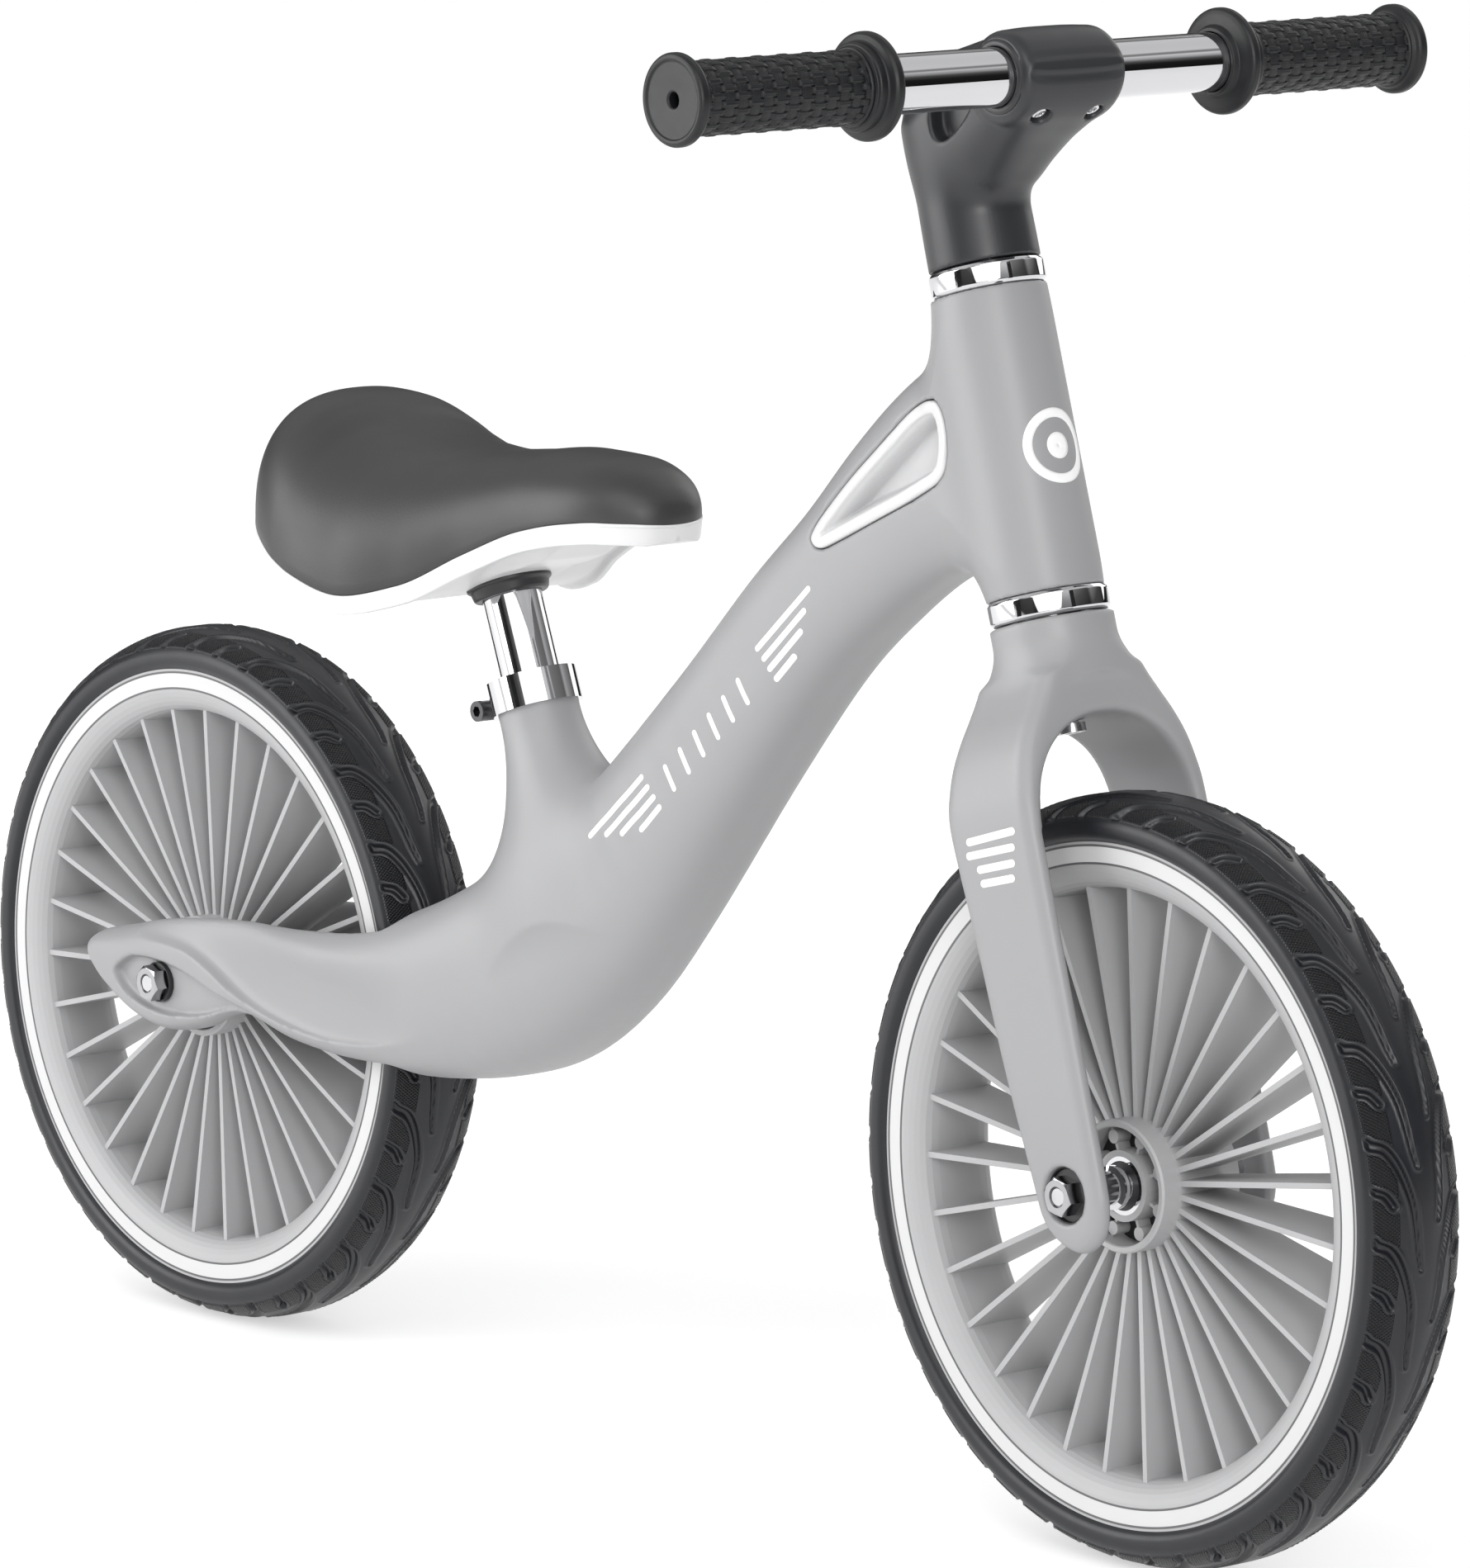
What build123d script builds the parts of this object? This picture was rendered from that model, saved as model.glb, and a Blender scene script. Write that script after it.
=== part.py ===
"""Child's balance bike: two 12-inch wheels, one-piece frame, steered fork,
stem and straight handlebar, and a saddle on an adjustable post.

Frame of the part: +X forward, +Y to the rider's left, +Z up, origin on the
floor under the middle of the bike.  All lengths are in millimetres.
"""
import math
import os

from build123d import *

# ------------------------------------------------------------------ dimensions
WHEELBASE = 563.57          # rear axle to front axle
TYRE_R = 144.5              # outer radius of the tyre
RIM_R = 128.0               # radius of the rim lip
RIM_W = 41.0                # width over the rim lips
BARREL_R = 110.0            # inside radius of the rim barrel
FIN_COUNT = 31              # flat fins joining rim and hub
FIN_T = 2.2                 # fin thickness
HUB_R = 25.0                # outside radius of the hub barrel
HUB_W = 39.0                # width of the hub barrel
TYRE_HALF_W = 22.6          # widest half width of the tyre

STEER_ANGLE = 73.63         # steering axis, degrees from the ground
HEAD_R = 21.2               # head tube outside radius
HEAD_S0, HEAD_S1 = 220.9, 335.4   # head tube ends, measured up the axis from the front axle
COLLAR_R0, COLLAR_R1 = 22.9, 21.8 # lower and upper headset collars
COLLAR_H = 9.7
STEERER_R = 12.7            # steerer tube, 25.4 mm outside diameter
FORK_S = 210.8              # top of the fork crown
STEM_S = 345.4              # bottom of the stem

BAR_R = 11.1                # handlebar tube, 22.2 mm outside diameter
BAR_T, BAR_S = 53.0, 406.4  # bar centre, forward of and up the steering axis
GRIP_END = 179.5            # half width over the grips
GRIP_R = 13.4

AXLE_R = 4.0                # 8 mm axles
BEARING_R = 11.0            # 8 x 22 x 7 bearings
BEARING_W = 7.0

FORK_OUT = 46.0             # outer face of the fork blades
FORK_IN = 38.4              # inner face of the fork blades
ARM_OUT = 42.5              # outer face of the frame's rear arms
ARM_IN = 28.5               # inner face of the rear arms
SLOT_R = 150.5              # wheel slot radius

SEAT_ANGLE = 69.0           # seat post, degrees from the ground
SEAT_X, SEAT_Z = 185.1, 176.0     # point on the seat post axis, from the rear axle
POST_R = 12.0

X0 = -WHEELBASE / 2         # rear axle in the part's frame
Z0 = TYRE_R

PARTS = {}


def put(name, shape):
    """Keeps a finished node, moved from rear-axle coordinates to the part's frame."""
    PARTS[name] = shape


def V(x, y, z):
    return Vector(x, y, z)


# steering axis helpers: t is forward-up across the axis, s is up along it
SA = math.radians(STEER_ANGLE)
S_DIR = Vector(-math.cos(SA), 0, math.sin(SA))
T_DIR = Vector(math.sin(SA), 0, math.cos(SA))
FRONT = Vector(WHEELBASE, 0, 0)


def st(t, s, y=0.0):
    return FRONT + T_DIR * t + S_DIR * s + Vector(0, y, 0)


STEER_PLANE = Plane(origin=FRONT, x_dir=T_DIR, z_dir=S_DIR)        # local x = t, local z = s
TS_PLANE = Plane(origin=FRONT, x_dir=T_DIR, z_dir=Vector(0, -1, 0))  # local x = t, local y = s
YS_PLANE = Plane(origin=FRONT, x_dir=Vector(0, 1, 0), z_dir=T_DIR)   # local x = y, local y = s
XZ = Plane(origin=(0, 0, 0), x_dir=(1, 0, 0), z_dir=(0, -1, 0))      # local x = x, local y = z

PA = math.radians(SEAT_ANGLE)
P_DIR = Vector(-math.cos(PA), 0, math.sin(PA))
P_ORG = Vector(SEAT_X, 0, SEAT_Z)
POST_PLANE = Plane(origin=P_ORG, x_dir=Vector(math.sin(PA), 0, math.cos(PA)), z_dir=P_DIR)


def cyl(plane, r, a, b, r2=None):
    """Cylinder or cone on plane's z axis from a to b."""
    base = plane.offset(a)
    if r2 is None:
        return extrude(base * Circle(r), amount=b - a)
    return loft([base * Circle(r), plane.offset(b) * Circle(r2)])


def ring(plane, r1, r0, a, b):
    return cyl(plane, r1, a, b) - cyl(plane, r0, a - 1, b + 1)


def y_plane(x, z):
    """Local z axis along +Y through (x, z)."""
    return Plane(origin=(x, 0, z), x_dir=(1, 0, 0), z_dir=(0, 1, 0))


def y_cyl(x, z, r, y0, y1):
    return cyl(y_plane(x, z), r, y0, y1)


def y_hex(x, z, af, y0, y1, turn=0.0):
    p = y_plane(x, z).offset(y0)
    return extrude(p * RegularPolygon(af / 2, 6, major_radius=False, rotation=turn), amount=y1 - y0)


def revolve_y(points, x, z, spline=False):
    """Closed profile of (r, y) points turned about the Y axis through (x, z)."""
    pl = Plane(origin=(x, 0, z), x_dir=(1, 0, 0), z_dir=(0, 0, 1))
    wire = Polyline(*points, close=True)
    return revolve(pl * make_face(wire), axis=Axis((x, 0, z), (0, 1, 0)))


def revolve_on(plane, points):
    """Closed profile of (r, height) points turned about plane's z axis."""
    prof = Plane(origin=plane.origin, x_dir=plane.x_dir, z_dir=plane.y_dir * -1)
    wire = Polyline(*points, close=True)
    return revolve(prof * make_face(wire), axis=Axis(plane.origin, plane.z_dir))


def soften(shape, pick, radii):
    """Fillets the picked edges with the first radius that works."""
    for r in radii:
        try:
            es = pick(shape)
            if not es:
                return shape
            new = fillet(es, r)
            if new.is_valid and new.volume > 0:
                return new
        except Exception:
            continue
    print("  no fillet")
    return shape


def both_sides(solid):
    """The solid and its mirror image across the XZ plane."""
    return [solid, mirror(solid, about=Plane.XZ)]


# ------------------------------------------------------------------- the wheels
def make_wheel(tag, x):
    hw = RIM_W / 2
    rim = revolve_y(
        [(RIM_R, -hw), (RIM_R, -hw + 2.2), (119.5, -15.5), (117.0, -12), (117.0, 12), (119.5, 15.5),
         (RIM_R, hw - 2.2), (RIM_R, hw), (126.6, hw), (126.6, hw - 0.9), (120.0, hw - 0.9), (120.0, hw),
         (118.4, hw - 0.25), (116.4, hw - 0.9), (114.4, hw - 1.9), (112.7, hw - 3.2), (111.3, hw - 4.9), (110.4, hw - 7.2), (BARREL_R, hw - 10.5),
         (BARREL_R, -hw + 10.5), (110.4, -hw + 7.2), (111.3, -hw + 4.9), (112.7, -hw + 3.2), (114.4, -hw + 1.9), (116.4, -hw + 0.9), (118.4, -hw + 0.25),
         (120.0, -hw), (120.0, -hw + 0.9),
         (126.6, -hw + 0.9), (126.6, -hw)], x, 0)
    yo, yi = hw - 5.8, hw - 10.0
    fin_plane = Plane(origin=(x, 0, 0), x_dir=(0, 1, 0), z_dir=(1, 0, 0))
    fin_profile = make_face(Polyline((-yi, 23.5), (-yo, BARREL_R + 1.0), (yo, BARREL_R + 1.0), (yi, 23.5), close=True))
    fin = extrude(fin_plane * fin_profile, amount=FIN_T / 2, both=True)
    fins = [fin.rotate(Axis((x, 0, 0), (0, 1, 0)), 360 * k / FIN_COUNT) for k in range(FIN_COUNT)]
    hh = HUB_W / 2
    hub = revolve_y(
        [(HUB_R, -hh + 0.8), (HUB_R - 0.7, -hh), (HUB_R - 2.4, -hh), (HUB_R - 2.8, -hh + 0.6), (HUB_R - 3.0, -8),
         (13.6, -8), (13.4, -hh + 2.2), (BEARING_R, -hh + 2.2), (BEARING_R, -hh + 2.4 + BEARING_W), (9.4, -hh + 2.4 + BEARING_W),
         (9.4, hh - 2.4 - BEARING_W), (BEARING_R, hh - 2.4 - BEARING_W), (BEARING_R, hh - 2.2), (13.4, hh - 2.2),
         (13.6, 8), (HUB_R - 3.0, 8), (HUB_R - 2.8, hh - 0.6), (HUB_R - 2.4, hh), (HUB_R - 0.7, hh), (HUB_R, hh - 0.8)],
        x, 0)
    posts = []
    for k in range(8):
        ang = 22.5 + 45 * k
        rib = Box(10.5, 2 * 14.5, 1.3).moved(Location((x + 17.6, 0, 0)))
        boss = y_cyl(x + 18.6, 0, 2.6, -15.0, 15.0)
        posts += [(rib + boss).rotate(Axis((x, 0, 0), (0, 1, 0)), ang)]
    body = rim + fins + hub + posts
    put(tag + "_rim", body)

    # tyre: solid foam tread on the rim's channel
    half = [(RIM_R, -20.6), (129.4, -21.9), (131.5, TYRE_HALF_W * -1), (134.8, -22.4), (137.6, -20.6), (140.0, -17.3),
            (141.6, -13.6), (143.1, -9.0), (144.1, -4.5), (TYRE_R, 0)]
    outer = half + [(r, -y) for r, y in reversed(half[:-1])]
    inner = [(RIM_R, hw - 2.2), (119.5, 15.5), (117.0, 12), (117.0, -12), (119.5, -15.5), (RIM_R, -hw + 2.2)]
    put(tag + "_tyre", revolve_y(outer + inner, x, 0))

    # coloured band in each face of the rim
    band = revolve_y([(126.6, -hw), (126.6, -hw + 0.9), (120.0, -hw + 0.9), (120.0, -hw)], x, 0)
    put(tag + "_rim_bands", Compound(children=both_sides(band)))

    # bearings, and the tube between them
    b0 = -(HUB_W / 2 - 2.4 - BEARING_W)
    outer_race = ring(y_plane(x, 0), BEARING_R, 9.3, b0 - BEARING_W, b0)
    put(tag + "_bearing_outer_races", Compound(children=both_sides(outer_race)))
    inner_race = ring(y_plane(x, 0), 5.9, AXLE_R + 0.05, b0 - BEARING_W, b0)
    shield = ring(y_plane(x, 0), 9.3, 5.9, b0 - BEARING_W + 0.6, b0 - 0.6)
    put(tag + "_bearing_inner_races", Compound(children=both_sides(inner_race)))
    put(tag + "_bearing_seals", Compound(children=both_sides(shield)))
    put(tag + "_hub_tube", ring(y_plane(x, 0), 5.6, AXLE_R + 0.25, b0, -b0))
    return b0 - BEARING_W


def make_axle(tag, x, face, floor, end, hub_face):
    """Axle, spacers, washers and nuts; face is the outer face of the arm and floor its counterbore."""
    put(tag + "_axle", chamfer(y_cyl(x, 0, AXLE_R, -end, end).edges().filter_by(GeomType.CIRCLE), 0.8))
    inner = ARM_IN if tag == "rear" else FORK_IN
    prof = [(AXLE_R, hub_face - 0.1), (5.7, hub_face - 0.1), (5.7, hub_face - 2.2), (8.2, hub_face - 3.4), (8.2, hub_face - 5.6),
            (6.4, hub_face - 6.4), (6.4, -inner), (AXLE_R, -inner)]
    spacer = revolve_y(prof, x, 0)
    put(tag + "_axle_spacers", Compound(children=both_sides(spacer)))
    washer = ring(y_plane(x, 0), 7.8 if tag == "rear" else 9.6, AXLE_R, -floor - 1.2, -floor)
    put(tag + "_axle_washers", Compound(children=both_sides(washer)))
    top = -floor - 1.2
    nut = y_hex(x, 0, 13.0, top - 6.8, top, 12) & revolve_y(
        [(0, top), (8.2, top), (8.2, top - 5.9), (6.4, top - 6.8), (0, top - 6.8)], x, 0)
    nut = nut - y_cyl(x, 0, AXLE_R, -end - 5, -20)
    put(tag + "_axle_nuts", Compound(children=both_sides(nut)))


hub_face = make_wheel("rear", 0.0)
make_wheel("front", WHEELBASE)
make_axle("rear", 0.0, ARM_OUT, 38.0, 45.6, hub_face)
make_axle("front", WHEELBASE, FORK_OUT, 41.6, 49.0, hub_face)


# -------------------------------------------------------------------- the frame
def super_wire(cx, cz, ang, a, b, n, count=28):
    """Closed section: half height a in the XZ plane, half width b along Y."""
    th = math.radians(ang)
    nx, nz = -math.sin(th), math.cos(th)
    pts = []
    for k in range(count):
        ph = 2 * math.pi * k / count
        c, s = math.cos(ph), math.sin(ph)
        u = math.copysign(abs(c) ** (2 / n), c) * a
        v = math.copysign(abs(s) ** (2 / n), s) * b
        pts.append((cx + nx * u, v, cz + nz * u))
    return Wire([Edge.make_spline(pts, periodic=True)])


# centre x, z; heading of the section's normal; half height; half width; squareness
SECTIONS = [
    (-53.0, 8.0, 0, 3.0, 40.5, 2.6),
    (-49.0, 7.0, 0, 8.5, 41.8, 3.0),
    (-40.0, 4.6, 0, 14.5, 42.3, 3.2),
    (-22.0, 2.0, 0, 21.0, 42.5, 3.4),
    (0.0, 2.6, 0, 24.8, 42.5, 3.6),
    (26.0, 6.6, 0, 24.2, 42.4, 3.6),
    (52.0, 12.4, 0, 20.8, 42.2, 3.4),
    (85.0, 9.6, 0, 25.6, 42.0, 3.4),
    (125.0, 10.6, 0, 30.6, 41.4, 3.4),
    (165.0, 17.5, 6, 37.0, 39.0, 3.0),
    (203.0, 31.0, 16, 41.5, 34.0, 2.7),
    (238.5, 53.5, 30, 40.5, 28.6, 2.5),
    (274.0, 86.0, 41, 36.0, 24.8, 2.5),
    (325.0, 139.6, 46.5, 30.6, 22.8, 2.5),
    (367.7, 183.5, 46, 29.4, 22.2, 2.5),
    (398.0, 213.0, 44.5, 31.5, 21.8, 2.5),
    (425.0, 237.0, 42, 35.6, 21.4, 2.5),
    (452.0, 253.0, 33, 40.0, 20.8, 2.5),
    (480.0, 264.0, 20, 44.0, 19.0, 2.4),
]
body = Solid.make_loft([super_wire(*q) for q in SECTIONS])
head = cyl(STEER_PLANE, HEAD_R, HEAD_S0, HEAD_S1)
seat_tube = cyl(POST_PLANE, 16.3, -48, -33.2) + cyl(POST_PLANE, 18.6, -76, -48, 16.3) + cyl(POST_PLANE, 23.0, -95, -76, 18.6) \
    + cyl(POST_PLANE, 30.0, -108, -95, 23.0) + cyl(POST_PLANE, 30.0, -116, -108)
frame = Part() + body + head + seat_tube
slot = y_cyl(0, 0, SLOT_R, -ARM_IN, ARM_IN)
slot = soften(slot, lambda q: q.edges().filter_by(GeomType.CIRCLE), (8.0, 5.0))
frame = frame - slot
frame = frame - cyl(STEER_PLANE, 16.0, HEAD_S0 - 30, HEAD_S1 + 20) - cyl(POST_PLANE, POST_R + 0.05, -146, 10)
frame = frame - ring(STEER_PLANE, 60, HEAD_R - 6, HEAD_S1, HEAD_S1 + 40) - ring(STEER_PLANE, 60, HEAD_R - 6, HEAD_S0 - 40, HEAD_S0)
frame = frame - y_cyl(0, 0, AXLE_R, -60, 60)
for side in (-1, 1):
    y0, y1 = (side * 38.0, side * 60.0) if side > 0 else (side * 60.0, side * 38.0)
    frame = frame - y_cyl(0, 0, 8.4, y0, y1)
    leaf_pts = [(-30, 1), (-24, 6.5), (-10, 9.6), (8, 8.6), (28, 4.4), (46, -2), (53, -6), (40, -9.5), (22, -13), (4, -15.2),
                (-14, -12.6), (-26, -6)]
    leaf = extrude(XZ * make_face(Spline(*leaf_pts, periodic=True)), amount=60) if side < 0 else \
        extrude(XZ * make_face(Spline(*leaf_pts, periodic=True)), amount=-60)
    keep = Box(400, 41.2 * 2, 400)
    frame = frame - (leaf - keep)

# side pockets behind the head tube, each with its trim frame
TRIM = [(393.5, 222.5), (402, 221.0), (431, 235.5), (457, 250), (464, 260), (461.5, 275), (454, 281.5), (446, 277),
        (425, 256.5), (404, 235.5)]
trim_face = make_face(Spline(*TRIM, periodic=True))
inner_face = make_face(Spline(*[(401.5, 226.0), (430, 240.0), (454, 253.0), (459.5, 260.5), (457.5, 272.5), (453, 275.6),
                                (447, 271.5), (428.5, 253.0), (405, 230.5)], periodic=True))
trims = []
for side in (-1, 1):
    pocket = extrude(XZ * trim_face, amount=60 * -side)
    frame = frame - (pocket - Box(1200, 2 * 15.5, 800))
    shell = (extrude(XZ * trim_face, amount=24.5 * -side) - extrude(XZ * inner_face, amount=60 * -side)) - Box(1200, 2 * 15.5, 800)
    trims.append(shell)
skin = Solid.make_loft([super_wire(q[0], q[1], q[2], q[3] + 0.8, q[4] + 0.8, q[5]) for q in SECTIONS[12:]])
for side, shell in zip(("right", "left"), trims):
    part = shell & skin
    put("trim_insert_" + side, part)
put("frame", frame)

# headset: chrome collars and bearing rings in the head tube's ends
put("headset_collar_lower", ring(STEER_PLANE, COLLAR_R0, 16.9, HEAD_S0 - COLLAR_H, HEAD_S0))
upper = ring(STEER_PLANE, COLLAR_R1, 16.9, HEAD_S1, HEAD_S1 + COLLAR_H)
notch = Box(4, 2.2, 3.2).moved(Location((-COLLAR_R1, 0, 0)))
upper = upper - STEER_PLANE.rotated((0, 0, 68)).offset(HEAD_S1 + 1.4) * notch
put("headset_collar_upper", upper)
put("headset_bearing_lower", ring(STEER_PLANE, 16.9, STEERER_R + 0.05, HEAD_S0 - COLLAR_H + 1.0, HEAD_S0 - 1.2))
put("headset_bearing_upper", ring(STEER_PLANE, 16.9, STEERER_R + 0.05, HEAD_S1 + 1.2, HEAD_S1 + COLLAR_H - 1.0))

# seat clamp: split ring with two ears at the back, socket bolt and nut
C0, C1 = -45.0, -33.0
band = ring(POST_PLANE, 18.2, 16.35, C0, C1 + 0.0)
lip = ring(POST_PLANE, 18.2, POST_R + 0.15, C1, C1 + 1.4)
ears = Box(11.0, 15.6, 10.4).moved(Location((-21.3, 0, (C0 + C1) / 2 + 0.2)))
ears = POST_PLANE * ears
ears = soften(ears, lambda q: q.edges().filter_by(Axis.Y), (3.0, 2.0))
gap = POST_PLANE * Box(14, 2.6, 20).moved(Location((-23, 0, (C0 + C1) / 2)))
clamp = (band + lip + (ears - cyl(POST_PLANE, 16.35, C0 - 5, C1))) - cyl(POST_PLANE, POST_R + 0.15, C0 - 5, C1 + 5) - gap
bolt_at = P_ORG + POST_PLANE.x_dir * -23.2 + P_DIR * ((C0 + C1) / 2 - 0.3)
clamp = clamp - y_cyl(bolt_at.X, bolt_at.Z, 2.5, -20, 20)
put("seat_clamp", clamp)
bolt = y_cyl(bolt_at.X, bolt_at.Z, 4.1, -12.6, -7.8) + y_cyl(bolt_at.X, bolt_at.Z, 2.5, -7.8, 11.0)
bolt = bolt - y_hex(bolt_at.X, bolt_at.Z, 4.0, -14, -10.0)
put("seat_clamp_bolt", bolt)
put("seat_clamp_nut", y_hex(bolt_at.X, bolt_at.Z, 7.0, 7.8, 11.4) - y_cyl(bolt_at.X, bolt_at.Z, 2.5, 0, 20))

# ------------------------------------------------------------ fork, stem and bar
FORK = [  # height on the axis, rear t, front t, half width, squareness
    (FORK_S, -21.4, 21.4, 21.4, 2.0), (203.0, -21.5, 21.4, 21.6, 2.0), (196.0, -22.0, 21.3, 24.0, 2.1), (188.0, -23.4, 21.0, 28.6, 2.4),
    (180.0, -25.2, 20.6, 34.6, 3.0), (172.0, -27.0, 20.3, 40.0, 4.0), (162.0, -29.0, 20.0, 44.2, 5.4), (150.0, -30.2, 19.7, FORK_OUT, 7.0),
    (134.0, -29.6, 19.5, FORK_OUT, 8.0), (100.0, -27.2, 19.3, FORK_OUT, 8.0), (55.0, -24.2, 19.2, FORK_OUT, 8.0),
    (14.0, -21.2, 19.1, FORK_OUT, 8.0), (-26.0, -18.8, 18.8, FORK_OUT, 8.0)]


def ts_section(s, t0, t1, b, n, count=32):
    """Closed section across the steering axis."""
    pts = []
    for k in range(count):
        ph = 2 * math.pi * k / count
        c, q = math.cos(ph), math.sin(ph)
        u = (t0 + t1) / 2 + math.copysign(abs(c) ** (2 / n), c) * (t1 - t0) / 2
        v = math.copysign(abs(q) ** (2 / n), q) * b
        p = st(u, s, v)
        pts.append((p.X, p.Y, p.Z))
    return Wire([Edge.make_spline(pts, periodic=True)])


fork = Part() + Solid.make_loft([ts_section(*q) for q in FORK])
front_in = [(-FORK_IN, 131), (-37.2, 143), (-33.6, 153.5), (-27, 162.5), (-18, 169), (-8, 172.3), (0, 172.8)]
arch = make_face(
    Polyline((-FORK_IN, 131), (-FORK_IN, -40), (FORK_IN, -40), (FORK_IN, 131))
    + Spline(*[(-y, s) for y, s in front_in], tangents=[(0, 1), (-1, 0)])
    + Spline(*reversed(front_in), tangents=[(-1, 0), (0, -1)]))
fork = fork - extrude(YS_PLANE * arch, amount=60, both=True)
toe = [(-18.8, 2), (-17.2, -7), (-12, -15.5), (-3, -21.8), (5, -22.6), (13, -18.6), (17.6, -10), (19.4, 2)]
toe_face = make_face(Spline(*toe) + Polyline((19.4, 2), (45, 2), (45, 240), (-45, 240), (-45, 2), (-18.8, 2)))
fork = fork & extrude(TS_PLANE * toe_face, amount=60, both=True)
fork = fork - cyl(STEER_PLANE, STEERER_R, 184, FORK_S + 10) - cyl(STEER_PLANE, 3.1, 150, 200)
fork = fork - y_cyl(WHEELBASE, 0, AXLE_R, -60, 60)
for side in (-1, 1):
    y0, y1 = (41.6, 60.0) if side > 0 else (-60.0, -41.6)
    fork = fork - y_cyl(WHEELBASE, 0, 10.7, y0, y1)
put("fork", fork)

put("steerer_tube", ring(STEER_PLANE, STEERER_R, 10.6, 184.0, 396.0))
plug = cyl(STEER_PLANE, 10.6, 186, 206) - cyl(STEER_PLANE, 3.0, 180, 210)
put("steerer_plug", plug)
crown_bolt = cyl(STEER_PLANE, 3.0, 172.0, 204.0) + (cyl(STEER_PLANE, 5.4, 168.2, 171.6) - STEER_PLANE.offset(166) * extrude(RegularPolygon(2.5, 6, major_radius=False), amount=4.4))
crown_bolt = crown_bolt + cyl(STEER_PLANE, 3.0, 171.0, 173.0)
put("crown_bolt", crown_bolt)

# stem: sleeve over the steerer, with a hood over the bar and a pocket in each side
HOOD = [  # forward of the axis, bottom, top, half width, squareness
    (-20.5, 384.0, 404.0, 3.5, 2.0), (-19.4, 376.0, 411.0, 8.4, 2.1), (-16.0, 370.0, 417.0, 13.6, 2.2), (-9.0, 366.0, 422.2, 18.6, 2.3),
    (0.0, 364.0, 424.6, 20.8, 2.4), (12.0, 365.0, 425.2, 21.3, 2.5), (22.0, 368.5, 425.2, 21.7, 2.6), (32.0, 375.0, 425.0, 22.3, 2.8),
    (43.0, 381.0, 424.4, 23.2, 3.0), (53.0, 385.4, 423.4, 24.0, 3.4), (61.0, 389.2, 421.2, 24.0, 3.6), (66.4, 393.8, 416.4, 23.4, 3.6),
    (69.4, 399.4, 411.8, 21.6, 3.4), (70.2, 403.8, 408.6, 18.0, 3.0)]


def hood_section(t, lo, hi, b, n, count=28):
    """Closed section across the hood, square to the steering axis's forward direction."""
    pts = []
    for k in range(count):
        ph = 2 * math.pi * k / count
        c, q = math.cos(ph), math.sin(ph)
        p = st(t, (lo + hi) / 2 + math.copysign(abs(c) ** (2 / n), c) * (hi - lo) / 2, math.copysign(abs(q) ** (2 / n), q) * b)
        pts.append((p.X, p.Y, p.Z))
    return Wire([Edge.make_spline(pts, periodic=True)])


stem = Part() + Solid.make_loft([hood_section(*q) for q in HOOD]) + cyl(STEER_PLANE, 21.1, STEM_S, 404.0, 20.3)
pocket_pts = [(6, 384), (14, 384.5), (24, 390), (33, 399), (34, 407), (26, 412.5), (12, 411.5), (4, 399)]
for side in (-1, 1):
    pk = extrude(TS_PLANE * make_face(Spline(*pocket_pts, periodic=True)), amount=60 * -side)
    stem = stem - (pk - Box(2000, 26.0, 2000))
bar_at = st(BAR_T, BAR_S)
stem = stem - y_cyl(bar_at.X, bar_at.Z, BAR_R, -60, 60)
stem = stem - cyl(STEER_PLANE, STEERER_R, STEM_S - 5, 396.0)
screw_plane = []
for yy in (-9.5, 9.5):
    o = st(52.0, 380.0, yy)
    d = (st(BAR_T, BAR_S) - st(52.0, 380.0)).normalized()
    pl = Plane(origin=o, x_dir=(0, 1, 0), z_dir=d)
    screw_plane.append(pl)
    stem = stem - cyl(pl, 3.6, -10, 6.6) - cyl(pl, 2.0, 5, 15.0)
put("stem", stem)
screws = []
for pl in screw_plane:
    head_ = cyl(pl, 3.5, 3.6, 6.6) - extrude(pl.offset(2.6) * RegularPolygon(1.5, 6, major_radius=False), amount=2.4)
    screws.append(head_ + cyl(pl, 2.0, 6.6, 15.0))
put("stem_screws", Compound(children=screws))

put("handlebar", ring(y_plane(bar_at.X, bar_at.Z), BAR_R, BAR_R - 1.6, -173.8, 173.8))
for tag, sgn in (("grip_right", -1), ("grip_left", 1)):
    prof = [(BAR_R, 82.0), (13.0, 82.0), (13.8, 84.6), (18.8, 85.4), (20.0, 86.4), (20.0, 89.6), (19.0, 91.0), (16.4, 91.2),
            (16.2, 94.8), (14.6, 95.2), (GRIP_R, 96.4), (GRIP_R, 171.5), (14.6, 173.4), (16.4, 175.2), (17.0, 176.4), (17.0, 178.4),
            (16.2, GRIP_END), (12.0, GRIP_END), (12.0, 178.7), (2.8, 178.7), (2.8, 173.8), (BAR_R, 173.8)]
    put(tag, revolve_y([(r, y * sgn) for r, y in prof], bar_at.X, bar_at.Z))

# ------------------------------------------------------------------- the saddle
put("seat_post", ring(POST_PLANE, POST_R, POST_R - 1.5, -112.0, 14.0))
put("seat_bush", revolve_on(POST_PLANE, [(POST_R, 1.2), (15.2, 1.2), (15.9, 5.0), (17.3, 5.6), (17.3, 9.4), (16.4, 9.4), (16.4, 14.0), (POST_R, 14.0)]))

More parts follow.
